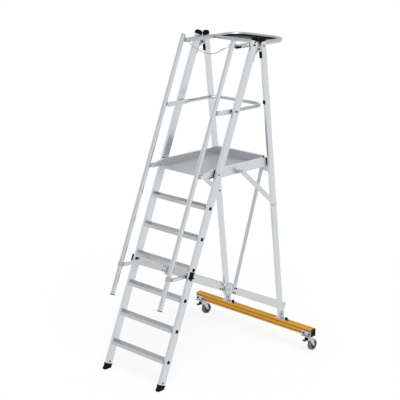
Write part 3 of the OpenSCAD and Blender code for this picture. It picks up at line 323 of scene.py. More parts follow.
def beamFinish(name):
    look = beamLook
    colour = look["colour"]
    material, shader, wire = newFinish(name, Metallic=look["metal"])
    place = placeOn(wire)
    depth = place.part("Y")
    level = place.part("Z")
    low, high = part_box("roll_beam")
    first, second = (low[2] + share * (high[2] - low[2]) for share in look["grooves"])
    # painted shade: the grooves on the front and top are darkened in the colour where shade falls in them; they
    # are also rougher
    grooveShadeMask = band(level, first, *look["grooveBand"]) + band(level, second, *look["grooveBand"])
    onTop = level.work("GREATER_THAN", level, high[2] - look["topDepth"])
    grooveShadeMask = grooveShadeMask + onTop * band(depth, (low[1] + high[1]) / 2, *look["topBand"])
    grooveShadeMask = grooveShadeMask + look["backShare"] * onTop * band(depth, high[1], *look["backBand"])
    streak = noise(stretch(place, (0.0, 0.0, 0.0), look["streaks"]), *look["streakNoise"])
    cloud = noise(place, *look["cloudNoise"])
    tone = look["tone"] + look["streakTone"] * (streak - 0.5) + look["cloudTone"] * (cloud - 0.5)
    plain = blendColour(tone, shade(colour, look["darkest"]), shade(colour, look["lightest"]))
    wear = look["streakRough"] * (streak - 0.5) + look["cloudRough"] * (cloud - 0.5)
    feed(shader,
         Base_Color=blendColour(look["paintedGrooveShare"] * grooveShadeMask, plain, shade(colour, look["grooveShade"])),
         Roughness=look["rough"] + wear + look["grooveRough"] * grooveShadeMask,
         Normal=bump(streak, look["bumpStrength"], look["bumpDepth"]))
    return material


# hoop insert: bare metal, black and not metallic along its outer lower half
insertLook = {
    "colour": (0.50, 0.52, 0.53),
    "lowerColour": (0.003, 0.003, 0.0034),
    "lowerRise": 0.005,
    "shine": 0.07,
    "fineNoise": (300.0, 3.0, 0.55),
    "darkest": 0.86,
    "lightest": 1.06,
    "rough": 0.34,
    "lowerRough": 0.2,
    "fineRough": 0.2,
    "bumpStrength": 0.3,
    "bumpDepth": 0.0001,
}


def insertFinish(name):
    look = insertLook
    colour = look["colour"]
    material, shader, wire = newFinish(name, Specular_IOR_Level=look["shine"])
    place = placeOn(wire)
    low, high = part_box("hoop_inserts")
    middle = (low[2] + high[2]) / 2
    lower = place.work("LESS_THAN", place.part("Z"), middle + look["lowerRise"])
    outer = place.work("GREATER_THAN", place.part("X").size(), high[0] - (high[2] - middle))
    lowerOuter = lower * outer
    fine = noise(place, *look["fineNoise"])
    bare = blendColour(fine, shade(colour, look["darkest"]), shade(colour, look["lightest"]))
    feed(shader,
         Base_Color=blendColour(lowerOuter, bare, shade(look["lowerColour"], 1.0)),
         Metallic=1.0 - lowerOuter,
         Roughness=look["rough"] + look["lowerRough"] * lowerOuter + look["fineRough"] * (fine - 0.5),
         Normal=bump(fine, look["bumpStrength"], look["bumpDepth"]))
    return material


def setCamera():
    bpy.ops.object.camera_add(location=cameraLook["place"], rotation=radians(cameraLook["turn"]))
    camera = bpy.context.object
    camera.data.sensor_width = cameraLook["sensor"]
    camera.data.lens = cameraLook["lens"]
    camera.data.clip_end = cameraLook["farthest"]
    scene.camera = camera


def seenShare(wire):
    # one for rays that show the surroundings: camera, mirror and glass rays
    camera, glossy, through = (wire.node("ShaderNodeLightPath", outlet=f"Is {ray} Ray")
                               for ray in ("Camera", "Glossy", "Transmission"))
    return wire.work("MAXIMUM", camera, wire.work("MAXIMUM", glossy, through))


def setLight():
    world = bpy.data.worlds.new("studioWorld")
    world.use_nodes = True
    scene.world = world
    back = world.node_tree.nodes["Background"]
    back.inputs["Color"].default_value = white
    seen = seenShare(Wire(world.node_tree))
    feed(back, Strength=studio["worldLevel"] + (1.0 - studio["worldLevel"]) * seen)
    bpy.ops.object.light_add(type="SUN", location=studio["sunPlace"], rotation=radians(studio["sunTurn"]))
    sun = bpy.context.object.data
    sun.energy = studio["sunPower"]
    sun.angle = math.radians(studio["sunSpread"])


def makeFloor():
    bpy.ops.mesh.primitive_plane_add(size=studio["floorSize"])
    floor = bpy.context.object
    floor.name = "studioFloor"
    tone = studio["floorTone"]
    material, shader, wire = newFinish("paleFloor", Roughness=studio["floorRough"],
                                       Base_Color=(tone, tone, tone, 1.0))
    glow = wire.node("ShaderNodeEmission", {}, {"Color": white})
    share = studio["floorGlow"] * seenShare(wire)
    showOnly(wire.node("ShaderNodeMixShader", {}, {0: share, 1: Wire(wire.tree, shader.outputs[0]), 2: glow}))
    floor.data.materials.append(material)


def makeCard():
    # a grey card behind the camera, seen only as a reflection in the front faces
    bpy.ops.mesh.primitive_plane_add(size=studio["cardSize"], location=studio["cardPlace"],
                                     rotation=radians(studio["cardTurn"]))
    card = bpy.context.object
    card.name = "studioCard"
    tone = studio["cardTone"]
    material, shader, wire = newFinish("greyCard")
    showOnly(wire.node("ShaderNodeEmission", {}, {"Color": (tone, tone, tone, 1.0)}))
    card.data.materials.append(material)
    card.visible_camera = False
    card.visible_diffuse = False
    card.visible_shadow = False


scene.view_settings.view_transform = "Standard"
setCamera()
setLight()
makeFloor()
makeCard()
print("camera and studio set")

# finishes of the metal and plastic pieces
leanTurn = (22.0, 0.0, 0.0)  # these turn the drawn direction along the leaning pieces
legTurn = (-6.7, 0.0, 0.0)
strutTurn = (25.0, 0.0, 0.0)
acrossStreaks = (2.5, 260.0, 260.0)
depthStreaks = (260.0, 2.5, 260.0)
pipeStreaks = (120.0, 120.0, 120.0)
castStreaks = (300.0, 300.0, 300.0)
zincStreaks = (60.0, 60.0, 60.0)
boltStreaks = (200.0, 200.0, 200.0)
paleAlloy = (0.665, 0.69, 0.71)
tubeAlloy = (0.56, 0.58, 0.595)
metals = {
    "stileAlloy": {"colour": paleAlloy, "turn": leanTurn, "rough": 0.24},
    "legAlloy": {"colour": paleAlloy, "turn": legTurn, "rough": 0.24},
    "crossAlloy": {"colour": paleAlloy, "streaks": acrossStreaks},
    "depthAlloy": {"colour": paleAlloy, "streaks": depthStreaks},
    "pipeAlloy": {"colour": tubeAlloy, "streaks": pipeStreaks, "rough": 0.30},
    # the knee rail and the top hoop carry painted shade on their upward sides
    "kneeAlloy": {"colour": (0.47, 0.49, 0.50), "streaks": pipeStreaks, "rough": 0.20, "paintedUpperShade": 0.2},
    "hoopAlloy": {"colour": tubeAlloy, "streaks": pipeStreaks, "rough": 0.34, "paintedUpperShade": 0.5},
    "strutAlloy": {"colour": (0.64, 0.66, 0.67), "turn": strutTurn, "streaks": depthStreaks},
    "castAlloy": {"colour": (0.55, 0.57, 0.58), "streaks": castStreaks, "rough": 0.5, "bumpDepth": 0.0004},
    "darkCast": {"colour": (0.38, 0.395, 0.405), "streaks": castStreaks, "rough": 0.5, "bumpDepth": 0.0004},
    "treadAlloy": {"colour": (0.54, 0.555, 0.57), "streaks": acrossStreaks, "rough": 0.40},
    "zincSteel": {"colour": (0.52, 0.54, 0.56), "streaks": zincStreaks, "rough": 0.28},
    "darkSteel": {"colour": (0.10, 0.10, 0.11), "streaks": boltStreaks, "rough": 0.45},
    "blackBolt": {"colour": (0.016, 0.016, 0.018), "streaks": boltStreaks, "rough": 0.5, "metal": 0.4},
}
plastics = {
    "blackPlastic": {"colour": (0.003, 0.003, 0.0034), "dust": 0.2, "Specular_IOR_Level": 0.07},
    "trayPlastic": {"colour": (0.005, 0.0055, 0.006), "rough": 0.42, "dust": 0.3, "Specular_IOR_Level": 0.25},
    "greyPlastic": {"colour": (0.35, 0.37, 0.39), "rough": 0.45, "dust": 0.25},
    "greyTyre": {"colour": (0.135, 0.152, 0.165), "rough": 0.6, "grain": 600.0, "grainDepth": 0.0003},
    "darkHub": {"colour": (0.015, 0.015, 0.017), "rough": 0.45, "Specular_IOR_Level": 0.25},
    "blueHook": {"colour": (0.45, 0.63, 0.76), "rough": 0.35, "dust": 0.2},
}
finishes = {name: metalFinish(name, **look) for name, look in metals.items()}
finishes.update({name: plasticFinish(name, **look) for name, look in plastics.items()})
finishes["goldAlloy"] = beamFinish("goldAlloy")
finishes["insertTwoTone"] = insertFinish("insertTwoTone")
finishes["paleCord"] = braidFinish("paleCord")
slotFinish = {
    "satin_aluminium": "pipeAlloy",
    "strut_aluminium": "strutAlloy",
    "cast_aluminium": "castAlloy",
    "tread_aluminium": "treadAlloy",
    "black_plastic": "blackPlastic",
    "grey_plastic": "greyPlastic",
    "zinc_steel": "zincSteel",
    "dark_steel": "darkSteel",
    "gold_anodised": "goldAlloy",
    "grey_tyre": "greyTyre",
    "dark_hub": "darkHub",
    "white_cord": "paleCord",
    "blue_hook": "blueHook",
}
nodeFinish = {  # solids that look unlike the rest of their slot, most by their drawn direction
    "stileAlloy": ("left_stile", "right_stile", "left_handrail", "right_handrail"),
    "legAlloy": ("left_leg", "right_leg"),
    "crossAlloy": ("lower_crossbar", "back_board"),
    "depthAlloy": ("left_board", "right_board", "left_arm", "right_arm", "knee_sleeves"),
    "kneeAlloy": ("knee_rail",),
    "hoopAlloy": ("top_hoop",),
    "insertTwoTone": ("hoop_inserts",),
    "trayPlastic": ("tray_floor", "tray_rim"),
    "darkSteel": ("pivot_bolts",),
}
slotOf = {part["node"]: part["material_slot"] for part in frame["record"]["subparts"]}
bodyOf = {name: body for body, names in frame["record"]["behaviour"]["bodies"].items() for name in names}


def dressSolids():
    chosen = {name: finish for finish, names in nodeFinish.items() for name in names}
    for name, solid in nodes.items():
        solid.data.materials.clear()
        solid.data.materials.append(finishes[chosen.get(name, slotFinish[slotOf[name]])])


dressSolids()
print("solids dressed")

# the safety cord across the entry, along the same route as its solid
cordFacts = {
    "route": [(-0.244, 0.0), (-0.236, -0.010), (-0.222, -0.020), (-0.204, -0.032), (-0.180, -0.046),
              (-0.150, -0.060), (-0.120, -0.071), (-0.090, -0.080), (-0.060, -0.087), (-0.030, -0.092),
              (0.0, -0.094), (0.030, -0.093), (0.060, -0.088), (0.090, -0.079), (0.116, -0.068),
              (0.140, -0.055), (0.156, -0.046)],  # across the entry and down from the fixed end
    "diameter": 0.006,
    "roundness": 5,
    "smoothness": 6,
}


def makeCord():
    low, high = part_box("safety_cord")
    depth = (low[1] + high[1]) / 2
    base = low[2] - min(drop for across, drop in cordFacts["route"]) + cordFacts["diameter"] / 2
    points = [Vector((across, depth, base + drop)) for across, drop in cordFacts["route"]]
    data = bpy.data.curves.new("safetyCord", "CURVE")
    data.dimensions = "3D"
    data.bevel_depth = cordFacts["diameter"] / 2
    data.bevel_resolution = cordFacts["roundness"]
    data.resolution_u = cordFacts["smoothness"]
    data.use_fill_caps = True
    line = data.splines.new("BEZIER")
    line.bezier_points.add(len(points) - 1)
    for knot, point in zip(line.bezier_points, points):
        knot.co = point
        knot.handle_left_type = "AUTO"
        knot.handle_right_type = "AUTO"
    cord = bpy.data.objects.new("safetyCord", data)
    scene.collection.objects.link(cord)
    cord.data.materials.append(finishes["paleCord"])
    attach(cord, "handrails")
    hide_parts("safety_cord")


makeCord()
print("cord hung")

# what the modelling helpers work with
bench = {
    "startSize": 0.001,
    "mergeGap": 0.00002,
    "solidMergeGap": 0.000005,
    "flatAngle": 0.5,
    "drumSegments": 2,
    "drumSmooth": 32.0,
    "latheSmooth": 35.0,
    "softSmooth": 40.0,
    "softSegments": 3,
    "softAngle": 30.0,
}
turnTo = {
    "+X": (0.0, 90.0, 0.0),
    "-X": (0.0, -90.0, 0.0),
    "+Y": (-90.0, 0.0, 0.0),
    "-Y": (90.0, 0.0, 0.0),
    "+Z": (0.0, 0.0, 0.0),
}
sides = (("left", -1.0, "-X", "+X"), ("right", 1.0, "+X", "-X"))  # name, sign, outward and inward way


def choose(piece):
    bpy.ops.object.select_all(action="DESELECT")
    piece.select_set(True)
    bpy.context.view_layer.objects.active = piece


def pickFaces(piece, test):
    # opens the piece for editing with just the tested faces picked
    choose(piece)
    bpy.ops.object.mode_set(mode="EDIT")
    bpy.ops.mesh.select_mode(type="FACE")
    bpy.ops.mesh.select_all(action="DESELECT")
    bpy.ops.object.mode_set(mode="OBJECT")
    for face in piece.data.polygons:
        face.select = test(face)
    bpy.ops.object.mode_set(mode="EDIT")


def smoothBy(piece, angle):
    choose(piece)
    bpy.ops.object.shade_smooth_by_angle(angle=math.radians(angle))


def bevelAll(width, segments):
    # rounds every edge of the piece just added
    bpy.ops.object.mode_set(mode="EDIT")
    bpy.ops.mesh.select_all(action="SELECT")
    bpy.ops.mesh.bevel(offset=width, segments=segments, affect="EDGES")
    bpy.ops.object.mode_set(mode="OBJECT")


def drum(name, corners, radius, height, bevel):
    # a bevelled drum standing on the origin
    bpy.ops.object.select_all(action="DESELECT")
    bpy.ops.mesh.primitive_cylinder_add(vertices=corners, radius=radius, depth=height,
                                        location=(0.0, 0.0, height / 2))
    piece = bpy.context.object
    piece.name = name
    bpy.ops.object.transform_apply(location=True, rotation=False, scale=False)
    bevelAll(bevel, bench["drumSegments"])
    smoothBy(piece, bench["drumSmooth"])
    return piece


def lathe(name, outline, steps):
    # draws a side outline of radius and height point by point and spins it round the Z axis
    bpy.ops.object.select_all(action="DESELECT")
    bpy.ops.mesh.primitive_plane_add(size=bench["startSize"])
    piece = bpy.context.object
    piece.name = name
    bpy.ops.object.mode_set(mode="EDIT")
    bpy.ops.mesh.select_mode(type="VERT")
    bpy.ops.mesh.select_all(action="SELECT")
    bpy.ops.mesh.merge(type="CENTER")
    radius, level = outline[0]
    bpy.ops.transform.translate(value=(radius, 0.0, level))
    for (r0, z0), (r1, z1) in zip(outline, outline[1:]):
        bpy.ops.mesh.extrude_vertices_move(TRANSFORM_OT_translate={"value": (r1 - r0, 0.0, z1 - z0)})
    bpy.ops.mesh.select_all(action="SELECT")
    bpy.ops.mesh.spin(steps=steps, angle=math.tau, center=(0.0, 0.0, 0.0), axis=(0.0, 0.0, 1.0))
    bpy.ops.mesh.select_all(action="SELECT")
    bpy.ops.mesh.remove_doubles(threshold=bench["mergeGap"])
    bpy.ops.mesh.normals_make_consistent(inside=False)
    bpy.ops.object.mode_set(mode="OBJECT")
    smoothBy(piece, bench["latheSmooth"])
    return piece


def domed(radius, height, shares):
    # outline of a solid button from shares of its radius and height
    return [(0.0, 0.0)] + [(radius * out, height * up) for out, up in shares]


def settle(piece, name, finish, body, place, turn):
    # bakes place and turn into the mesh and hands the piece to its body
    piece.name = name
    piece.data.name = name
    piece.data.materials.clear()
    piece.data.materials.append(finishes[finish])
    piece.rotation_euler = radians(turn)
    piece.location = place
    choose(piece)
    bpy.ops.object.transform_apply(location=True, rotation=True, scale=True)
    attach(piece, body)
    return piece


def twin(master):
    piece = master.copy()
    piece.data = master.data.copy()
    scene.collection.objects.link(piece)
    return piece


def spread(master, name, finish, spots):
    # one copy of the master at each spot of body, place and direction
    for count, (body, place, way) in enumerate(spots, 1):
        settle(twin(master), f"{name}{count}", finish, body, place, turnTo.get(way, way))
    bpy.data.objects.remove(master)


def spot(joint):
    # where a joint sits
    return Vector(joints[joint]["pos_m"])


# rounded edges on the moulded solids
softWidths = {
    "stile_caps": 0.006,
    "leg_caps": 0.006,
    "feet": 0.0015,
    "stile_clamps": 0.0012,
    "front_spacers": 0.001,
    "leg_pads": 0.0012,
    "beam_caps": 0.0012,
    "left_pedal": 0.0015,
    "right_pedal": 0.0015,
    "handrail_caps": 0.0012,
}


def soften(name, width):
    # a copy of a solid with its sharp edges rounded takes the solid's place
    piece = twin(nodes[name])
    piece.name = name + "Soft"
    choose(piece)
    bpy.ops.object.mode_set(mode="EDIT")
    bpy.ops.mesh.select_all(action="SELECT")
    bpy.ops.mesh.remove_doubles(threshold=bench["solidMergeGap"])
    bpy.ops.mesh.dissolve_limited(angle_limit=math.radians(bench["flatAngle"]))
    bpy.ops.object.mode_set(mode="OBJECT")
    bevel = piece.modifiers.new("softEdges", "BEVEL")
    bevel.width = width
    bevel.segments = bench["softSegments"]
    bevel.limit_method = "ANGLE"
    bevel.angle_limit = math.radians(bench["softAngle"])
    bpy.ops.object.modifier_apply(modifier="softEdges")
    smoothBy(piece, bench["softSmooth"])
    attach(piece, bodyOf[name])
    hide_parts(name)


for name, width in softWidths.items():
    soften(name, width)
print("moulded edges rounded")

# hexagon heads on pins, clevis bolts, saddle bolts and axles
stileLow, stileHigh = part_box("right_stile")
innerFace = stileLow[0]
outerFace = stileHigh[0]
hexHead = {
    "corners": 6,
    "radius": 0.0082,
    "height": 0.0045,
    "bevel": 0.0007,
    "spacer": 0.0035,  # stands between the stile and its pin heads
    "strutPin": 0.3583,
    "bracePin": 0.3550,
    "clevisOut": 0.3458,
    "clevisIn": 0.3032,
    "clevisPlace": (0.7090, 0.2650),  # depth and level
    "saddleAcross": (0.6193, 0.6807),
    "saddleFront": 0.6763,
    "saddleLevel": 0.1733,
    "axleNut": 0.0215,
}


def makeHexHeads():
    dark, bright = [], []
    low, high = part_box("roll_beam")
    saddleBack = low[1] + high[1] - hexHead["saddleFront"]
    for name, side, outward, inward in sides:
        for joint, kind in (("platform_tip", bright), ("knee_rail_tip", dark), ("hoop_tip", dark)):
            pin = spot(joint)
            kind.append(("front_frame", (side * (outerFace + hexHead["spacer"]), pin.y, pin.z), outward))
        pin = spot(name + "_strut_turn")
        bright.append(("front_frame", (side * hexHead["strutPin"], pin.y, pin.z), outward))
        pin = spot(name + "_brace_turn")
        bright.append(("platform", (side * hexHead["bracePin"], pin.y, pin.z), outward))
        for reach, way in (("clevisOut", outward), ("clevisIn", inward)):
            bright.append(("rear_frame", (side * hexHead[reach], *hexHead["clevisPlace"]), way))
        for across in hexHead["saddleAcross"]:  # bolts in front, nuts behind
            level = hexHead["saddleLevel"]
            dark.append(("rear_frame", (side * across, hexHead["saddleFront"], level), "-Y"))
            bright.append(("rear_frame", (side * across, saddleBack, level), "+Y"))
        axle = spot(name + "_roll")
        for reach, way in ((hexHead["axleNut"], "+X"), (-hexHead["axleNut"], "-X")):
            bright.append((name + "_castor", (axle.x + reach, axle.y, axle.z), way))
    master = drum("hexHead", hexHead["corners"], hexHead["radius"], hexHead["height"], hexHead["bevel"])
    spread(twin(master), "darkHex", "blackBolt", dark)
    spread(master, "brightHex", "zincSteel", bright)


makeHexHeads()
print("hexagon heads set")

# domed rivets on the struts, domed screws on stiles and legs
domeHead = {
    "radius": 0.0066,
    "height": 0.0058,
    "shares": ((1.0, 0.0), (1.0, 0.55), (0.88, 0.80), (0.64, 0.94), (0.30, 1.0), (0.0, 1.0)),
    "steps": 24,
    "lift": 0.0005,
    "footScrew": (-0.7550, 0.0608),  # depth and level of each screw
    "hingeScrew": (0.3168, 2.7243),
    "legScrew": (0.4247, 2.6855),
    "innerLegScrews": ((0.5725, 1.4270), (0.5871, 1.3030)),
    "innerLegFace": 0.3115,
}
strutFacts = {
    "frontFace": 0.3532,
    "rearFace": 0.3722,
    "innerFace": 0.3420,
    "innerHead": 0.0018,  # how far the closing heads stand out
    "rivetStart": 0.064,
    "rivetPitch": 0.024,
    "rivetsInRow": 2,
    "rivetRise": 0.0192,
}
strutRun = spot("right_strut_knee") - spot("right_strut_turn")
strutWay = Vector((0.0, strutRun.y, strutRun.z)).normalized()
strutRise = Vector((0.0, -strutWay.z, strutWay.y))


def rivetSpots(name, side, outward, inward):
    spots = []
    knee = spot(name + "_strut_knee")
    sunk = strutFacts["innerFace"] + domeHead["height"] - strutFacts["innerHead"]
    for part, ahead in (("front", -1.0), ("rear", 1.0)):
        body = f"{name}_strut_{part}"
        face = strutFacts[part + "Face"]
        for step in range(strutFacts["rivetsInRow"]):
            along = ahead * (strutFacts["rivetStart"] + step * strutFacts["rivetPitch"])
            for rise in (-strutFacts["rivetRise"], strutFacts["rivetRise"]):
                place = knee + strutWay * along + strutRise * rise
                spots.append((body, (side * face, place.y, place.z), outward))
                if part == "front":  # closing heads on the inner side
                    spots.append((body, (side * sunk, place.y, place.z), inward))
    return spots


def makeDomes():
    dark = []
    outside = outerFace + domeHead["lift"]
    inside = innerFace - domeHead["lift"]
    for name, side, outward, inward in sides:  # the foot screw shows on both faces of the stile
        dark.extend(rivetSpots(name, side, outward, inward))
        dark.append(("front_frame", (side * outside, *domeHead["footScrew"]), outward))
        dark.append(("front_frame", (side * outside, *domeHead["hingeScrew"]), outward))
        dark.append(("rear_frame", (side * outside, *domeHead["legScrew"]), outward))
        dark.append(("front_frame", (side * inside, *domeHead["footScrew"]), inward))
        for place in domeHead["innerLegScrews"]:
            dark.append(("rear_frame", (side * domeHead["innerLegFace"], *place), inward))
    outline = domed(domeHead["radius"], domeHead["height"], domeHead["shares"])
    spread(lathe("domeHead", outline, domeHead["steps"]), "domeHead", "blackBolt", dark)


makeDomes()
print("rivets and screws set")

# strut hubs: pressed ring and boss outside, plate and pin end inside, as radius and height points
hubFacts = {
    "ring": ((0.0440, 0.0), (0.0455, 0.0024), (0.0470, 0.0030), (0.0490, 0.0030), (0.0506, 0.0018),
             (0.0510, 0.0), (0.0440, 0.0)),
    "boss": ((0.0, 0.0), (0.0205, 0.0), (0.0205, 0.0030), (0.0190, 0.0046), (0.0130, 0.0050),
             (0.0105, 0.0062), (0.0, 0.0066)),
    "plate": ((0.0120, 0.0), (0.0510, 0.0), (0.0510, 0.0010), (0.0500, 0.0020), (0.0430, 0.0020),
              (0.0410, 0.0008), (0.0120, 0.0008), (0.0120, 0.0)),
    "pinEnd": ((0.0, 0.0), (0.0085, 0.0), (0.0085, 0.0012), (0.0073, 0.0020), (0.0, 0.0022)),
    "wideSteps": 72,
    "bossSteps": 48,
    "pinSteps": 32,
}


def makeHubs():
    outside, plates, pins = [], [], []
    for name, side, outward, inward in sides:
        knee = spot(name + "_strut_knee")
        outside.append((name + "_strut_rear", (side * strutFacts["rearFace"], knee.y, knee.z), outward))
        place = (side * strutFacts["innerFace"], knee.y, knee.z)
        plates.append((name + "_strut_front", place, inward))
        pins.append((name + "_strut_rear", place, inward))
    ring = lathe("hubRing", hubFacts["ring"], hubFacts["wideSteps"])
    spread(ring, "hubRing", "darkCast", outside)
    boss = lathe("hubBoss", hubFacts["boss"], hubFacts["bossSteps"])
    spread(boss, "hubBoss", "zincSteel", outside)
    plate = lathe("hubPlate", hubFacts["plate"], hubFacts["wideSteps"])
    spread(plate, "hubPlate", "darkCast", plates)
    pin = lathe("hubPinHead", hubFacts["pinEnd"], hubFacts["pinSteps"])
    spread(pin, "hubPinHead", "zincSteel", pins)


makeHubs()
print("strut hubs set")

# castors: tyre, swivel race, thread guards and the pad on the brake pedal
castorFacts = {
    "tyreSide": [(0.0350, -0.0160), (0.0435, -0.0160), (0.0472, -0.0148), (0.0492, -0.0120),
                 (0.0500, -0.0070)],  # one side of the tyre, the other is its mirror
    "tyreSteps": 96,
    "race": ((0.0245, 0.0), (0.0270, 0.0006), (0.0285, 0.0030), (0.0285, 0.0060), (0.0269, 0.0068),
             (0.0269, 0.0082), (0.0285, 0.0090), (0.0285, 0.0120), (0.0265, 0.0135), (0.0225, 0.0137),
             (0.0245, 0.0)),
    "raceDrop": 0.0138,  # from the top of the fork
    "guard": ((0.0330, 0.0), (0.0325, 0.0012), (0.0290, 0.0020), (0.0200, 0.0012), (0.0140, 0.0016),
              (0.0120, 0.0040), (0.0105, 0.0044), (0.0105, 0.0), (0.0330, 0.0)),
    "guardReach": 0.0118,
    "ringSteps": 64,
    "padCorners": 4,
    "padRadius": 0.0100,
    "padHeight": 0.0012,
    "padBevel": 0.0003,
    "padBack": 0.0160,
    "padRise": 0.0030,
    "padTurn": (24.0, 0.0, 45.0),
}


def makeCastors():
    facts = castorFacts
    farSide = [(radius, -across) for radius, across in reversed(facts["tyreSide"])]
    tyre = lathe("tyre", facts["tyreSide"] + farSide + facts["tyreSide"][:1], facts["tyreSteps"])
    race = lathe("race", facts["race"], facts["ringSteps"])
    guard = lathe("guard", facts["guard"], facts["ringSteps"])
    pad = drum("pedalPad", facts["padCorners"], facts["padRadius"], facts["padHeight"], facts["padBevel"])
    for name in ("left", "right"):
        axle = spot(name + "_roll")
        swivel = spot(name + "_swivel")
        wheelBody = name + "_wheel_set"
        piece = settle(twin(tyre), name + "Tyre", "greyTyre", wheelBody, axle, turnTo["+X"])
        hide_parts(name + "_tyre")
        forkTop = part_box(name + "_fork")[1][2]
        settle(twin(race), name + "Race", "zincSteel", name + "_castor",
               (swivel.x, swivel.y, forkTop - facts["raceDrop"]), turnTo["+Z"])
        for count, (reach, way) in enumerate(((facts["guardReach"], "+X"), (-facts["guardReach"], "-X")), 1):
            settle(twin(guard), f"{name}Guard{count}", "darkHub", wheelBody,
                   (axle.x + reach, axle.y, axle.z), turnTo[way])
        low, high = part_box(name + "_pedal")
        level = (low[2] + high[2]) / 2 + facts["padRise"]
        settle(twin(pad), name + "PedalPad", "zincSteel", name + "_brake",
               (axle.x, low[1] + facts["padBack"], level), facts["padTurn"])
    for master in (tyre, race, guard, pad):
        bpy.data.objects.remove(master)


makeCastors()
print("castors finished")

# fluted clamp knobs on the beam brackets
knobFacts = {
    "radius": 0.0135,
    "height": 0.0185,
    "bevel": 0.0012,
    "flutes": 8,
    "cornersPerFlute": 4,
    "fluteDepth": 0.0018,
    "rimShare": 0.5,  # corners farther out than this belong to the rim
    "places": ((-0.2565, 0.7128, 0.2255), (0.3925, 0.7128, 0.2255)),
}


def makeKnobs():
    corners = knobFacts["flutes"] * knobFacts["cornersPerFlute"]
    knob = drum("knob", corners, knobFacts["radius"], knobFacts["height"], knobFacts["bevel"])
    for corner in knob.data.vertices:
        turn = math.atan2(corner.co.y, corner.co.x)
        reach = math.hypot(corner.co.x, corner.co.y)
        if reach > knobFacts["radius"] * knobFacts["rimShare"]:
            dip = knobFacts["fluteDepth"] * (0.5 + 0.5 * math.cos(turn * knobFacts["flutes"]))
            corner.co.x -= math.cos(turn) * dip
            corner.co.y -= math.sin(turn) * dip
    spots = [("rear_frame", place, "+Z") for place in knobFacts["places"]]
    spread(knob, "clampKnob", "blackPlastic", spots)


makeKnobs()
print("knobs set")

# ribbed rubber mat in the tool tray
matFacts = {
    "inset": 0.0070,
    "thickness": 0.0015,
    "ribPitch": 0.0120,
    "ribHeight": 0.0012,
    "flatAngle": 1.0,
    "upright": 0.9,  # faces whose normal rises more than this lie flat
    "levelGap": 0.0004,
}


def makeTrayMat():
    low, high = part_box("tray_floor")
    pitch = matFacts["ribPitch"]
    mat = twin(nodes["tray_floor"])
    pickFaces(mat, lambda face: face.normal.z < matFacts["upright"])
    bpy.ops.mesh.delete(type="FACE")
    bpy.ops.mesh.select_all(action="SELECT")
    bpy.ops.mesh.dissolve_limited(angle_limit=math.radians(matFacts["flatAngle"]))
    bpy.ops.mesh.select_all(action="SELECT")
    bpy.ops.mesh.inset(thickness=matFacts["inset"], use_boundary=True)
    bpy.ops.mesh.select_all(action="INVERT")
    bpy.ops.mesh.delete(type="FACE")
    for step in range(1, int((high[0] - low[0]) / pitch)):
        bpy.ops.mesh.select_all(action="SELECT")
        bpy.ops.mesh.bisect(plane_co=(low[0] + step * pitch, 0.0, 0.0), plane_no=(1.0, 0.0, 0.0))
    bpy.ops.mesh.select_all(action="SELECT")
    bpy.ops.mesh.extrude_region_move(TRANSFORM_OT_translate={"value": (0.0, 0.0, matFacts["thickness"])})
    bpy.ops.object.mode_set(mode="OBJECT")
    top = high[2] + matFacts["thickness"]

    def onRib(face):  # every second strip of the upper side
        upper = face.normal.z > matFacts["upright"] and abs(face.center.z - top) < matFacts["levelGap"]
        return upper and int((face.center.x - low[0]) / pitch) % 2 == 0

    pickFaces(mat, onRib)
    bpy.ops.mesh.extrude_region_move(TRANSFORM_OT_translate={"value": (0.0, 0.0, matFacts["ribHeight"])})
    bpy.ops.object.mode_set(mode="OBJECT")
    settle(mat, "trayMat", "trayPlastic", "top_hoop", (0.0, 0.0, 0.0), turnTo["+Z"])


makeTrayMat()
print("tray mat laid")

# ring at the fixed end of the cord
ringFacts = {
    "radius": 0.0085,
    "wire": 0.0022,
    "corners": 14,
    "steps": 40,
    "fromEnd": 0.0020,
    "fromTop": 0.0045,
    "turn": (90.0, 25.0, 0.0),
}


def makeCordRing():
    wire = ringFacts["wire"]
    outline = []
    for corner in range(ringFacts["corners"] + 1):
        turn = corner * math.tau / ringFacts["corners"]
        outline.append((ringFacts["radius"] + wire * math.cos(turn), wire * math.sin(turn)))
    low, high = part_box("safety_cord")
    place = (low[0] + ringFacts["fromEnd"], (low[1] + high[1]) / 2, high[2] - ringFacts["fromTop"])
    ring = lathe("cordRing", outline, ringFacts["steps"])
    spread(ring, "cordRing", "blueHook", [("handrails", place, ringFacts["turn"])])


# caps on both ends of the hinge pins
pinCap = {
    "radius": 0.0085,
    "height": 0.0035,
    "shares": ((1.0, 0.0), (1.0, 0.6), (0.85, 0.9), (0.5, 1.0), (0.0, 1.0)),
    "steps": 32,
    "reach": 0.0128,  # from the middle of the stile
}


def makePinCaps():
    pin = spot("fold")
    middle = (innerFace + outerFace) / 2
    spots = []
    for name, side, outward, inward in sides:
        spots.append(("rear_frame", (side * (middle + pinCap["reach"]), pin.y, pin.z), outward))
        spots.append(("rear_frame", (side * (middle - pinCap["reach"]), pin.y, pin.z), inward))
    outline = domed(pinCap["radius"], pinCap["height"], pinCap["shares"])
    spread(lathe("pinCap", outline, pinCap["steps"]), "pinCap", "blackBolt", spots)


# four screws on each beam end
capScrew = {
    "corners": 20,
    "radius": 0.0042,
    "height": 0.0022,
    "bevel": 0.0006,
    "fromSide": 0.012,
    "fromTop": 0.014,
    "sunk": 0.0004,
}


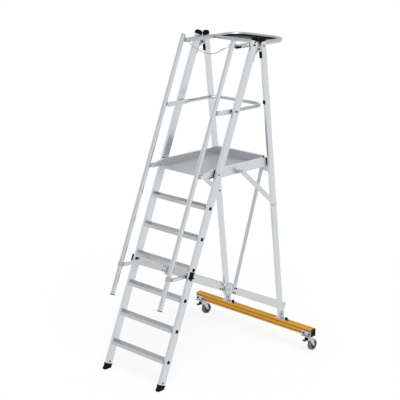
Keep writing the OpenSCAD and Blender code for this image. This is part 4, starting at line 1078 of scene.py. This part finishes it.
def makeCapScrews():
    low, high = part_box("beam_caps")
    spots = []
    for name, side, outward, inward in sides:
        for depth in (low[1] + capScrew["fromSide"], high[1] - capScrew["fromSide"]):
            for level in (low[2] + capScrew["fromTop"], high[2] - capScrew["fromTop"]):
                spots.append(("rear_frame", (side * (high[0] - capScrew["sunk"]), depth, level), outward))
    screw = drum("capScrew", capScrew["corners"], capScrew["radius"], capScrew["height"], capScrew["bevel"])
    spread(screw, "capScrew", "darkSteel", spots)


makeCordRing()
makePinCaps()
makeCapScrews()
print("small fittings set")

# plates that close the hollow ends of the treads
treadEnd = {
    "count": 6,
    "inset": 0.0010,
    "roof": 0.0025,
    "thickness": 0.0010,
    "recess": 0.0003,
    "bevel": 0.0002,
    "segments": 1,
}


def makeTreadEnds():
    low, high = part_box("tread_1")
    size = (treadEnd["thickness"], high[1] - low[1] - 2 * treadEnd["inset"],
            high[2] - low[2] - treadEnd["inset"] - treadEnd["roof"])
    bpy.ops.object.select_all(action="DESELECT")
    bpy.ops.mesh.primitive_cube_add(size=1.0, scale=size)
    plate = bpy.context.object
    bpy.ops.object.transform_apply(location=False, rotation=False, scale=True)
    bevelAll(treadEnd["bevel"], treadEnd["segments"])
    spots = []
    for number in range(1, treadEnd["count"] + 1):
        low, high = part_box(f"tread_{number}")
        reach = high[0] - treadEnd["recess"] - treadEnd["thickness"] / 2
        level = (low[2] + treadEnd["inset"] + high[2] - treadEnd["roof"]) / 2
        for side in (-1.0, 1.0):
            spots.append(("front_frame", (side * reach, (low[1] + high[1]) / 2, level), "+Z"))
    spread(plate, "treadEnd", "treadAlloy", spots)


makeTreadEnds()
print("tread ends closed")

# dark feet on the lower handrail plugs
plugFoot = {
    "outline": ((0.0, -0.0063), (0.0210, -0.0063), (0.0216, -0.0055), (0.0216, 0.0), (0.0201, 0.0012),
                (0.0108, 0.0014), (0.0, 0.0014)),
    "steps": 48,
    "place": (0.2860, -0.73546, 0.66115),
    "turn": (157.98, 0.0, 0.0),
}


def makePlugFeet():
    across, depth, level = plugFoot["place"]
    spots = [("handrails", (side * across, depth, level), plugFoot["turn"]) for side in (-1.0, 1.0)]
    foot = lathe("plugFoot", plugFoot["outline"], plugFoot["steps"])
    spread(foot, "plugFoot", "darkHub", spots)


makePlugFeet()
print("plug feet set")
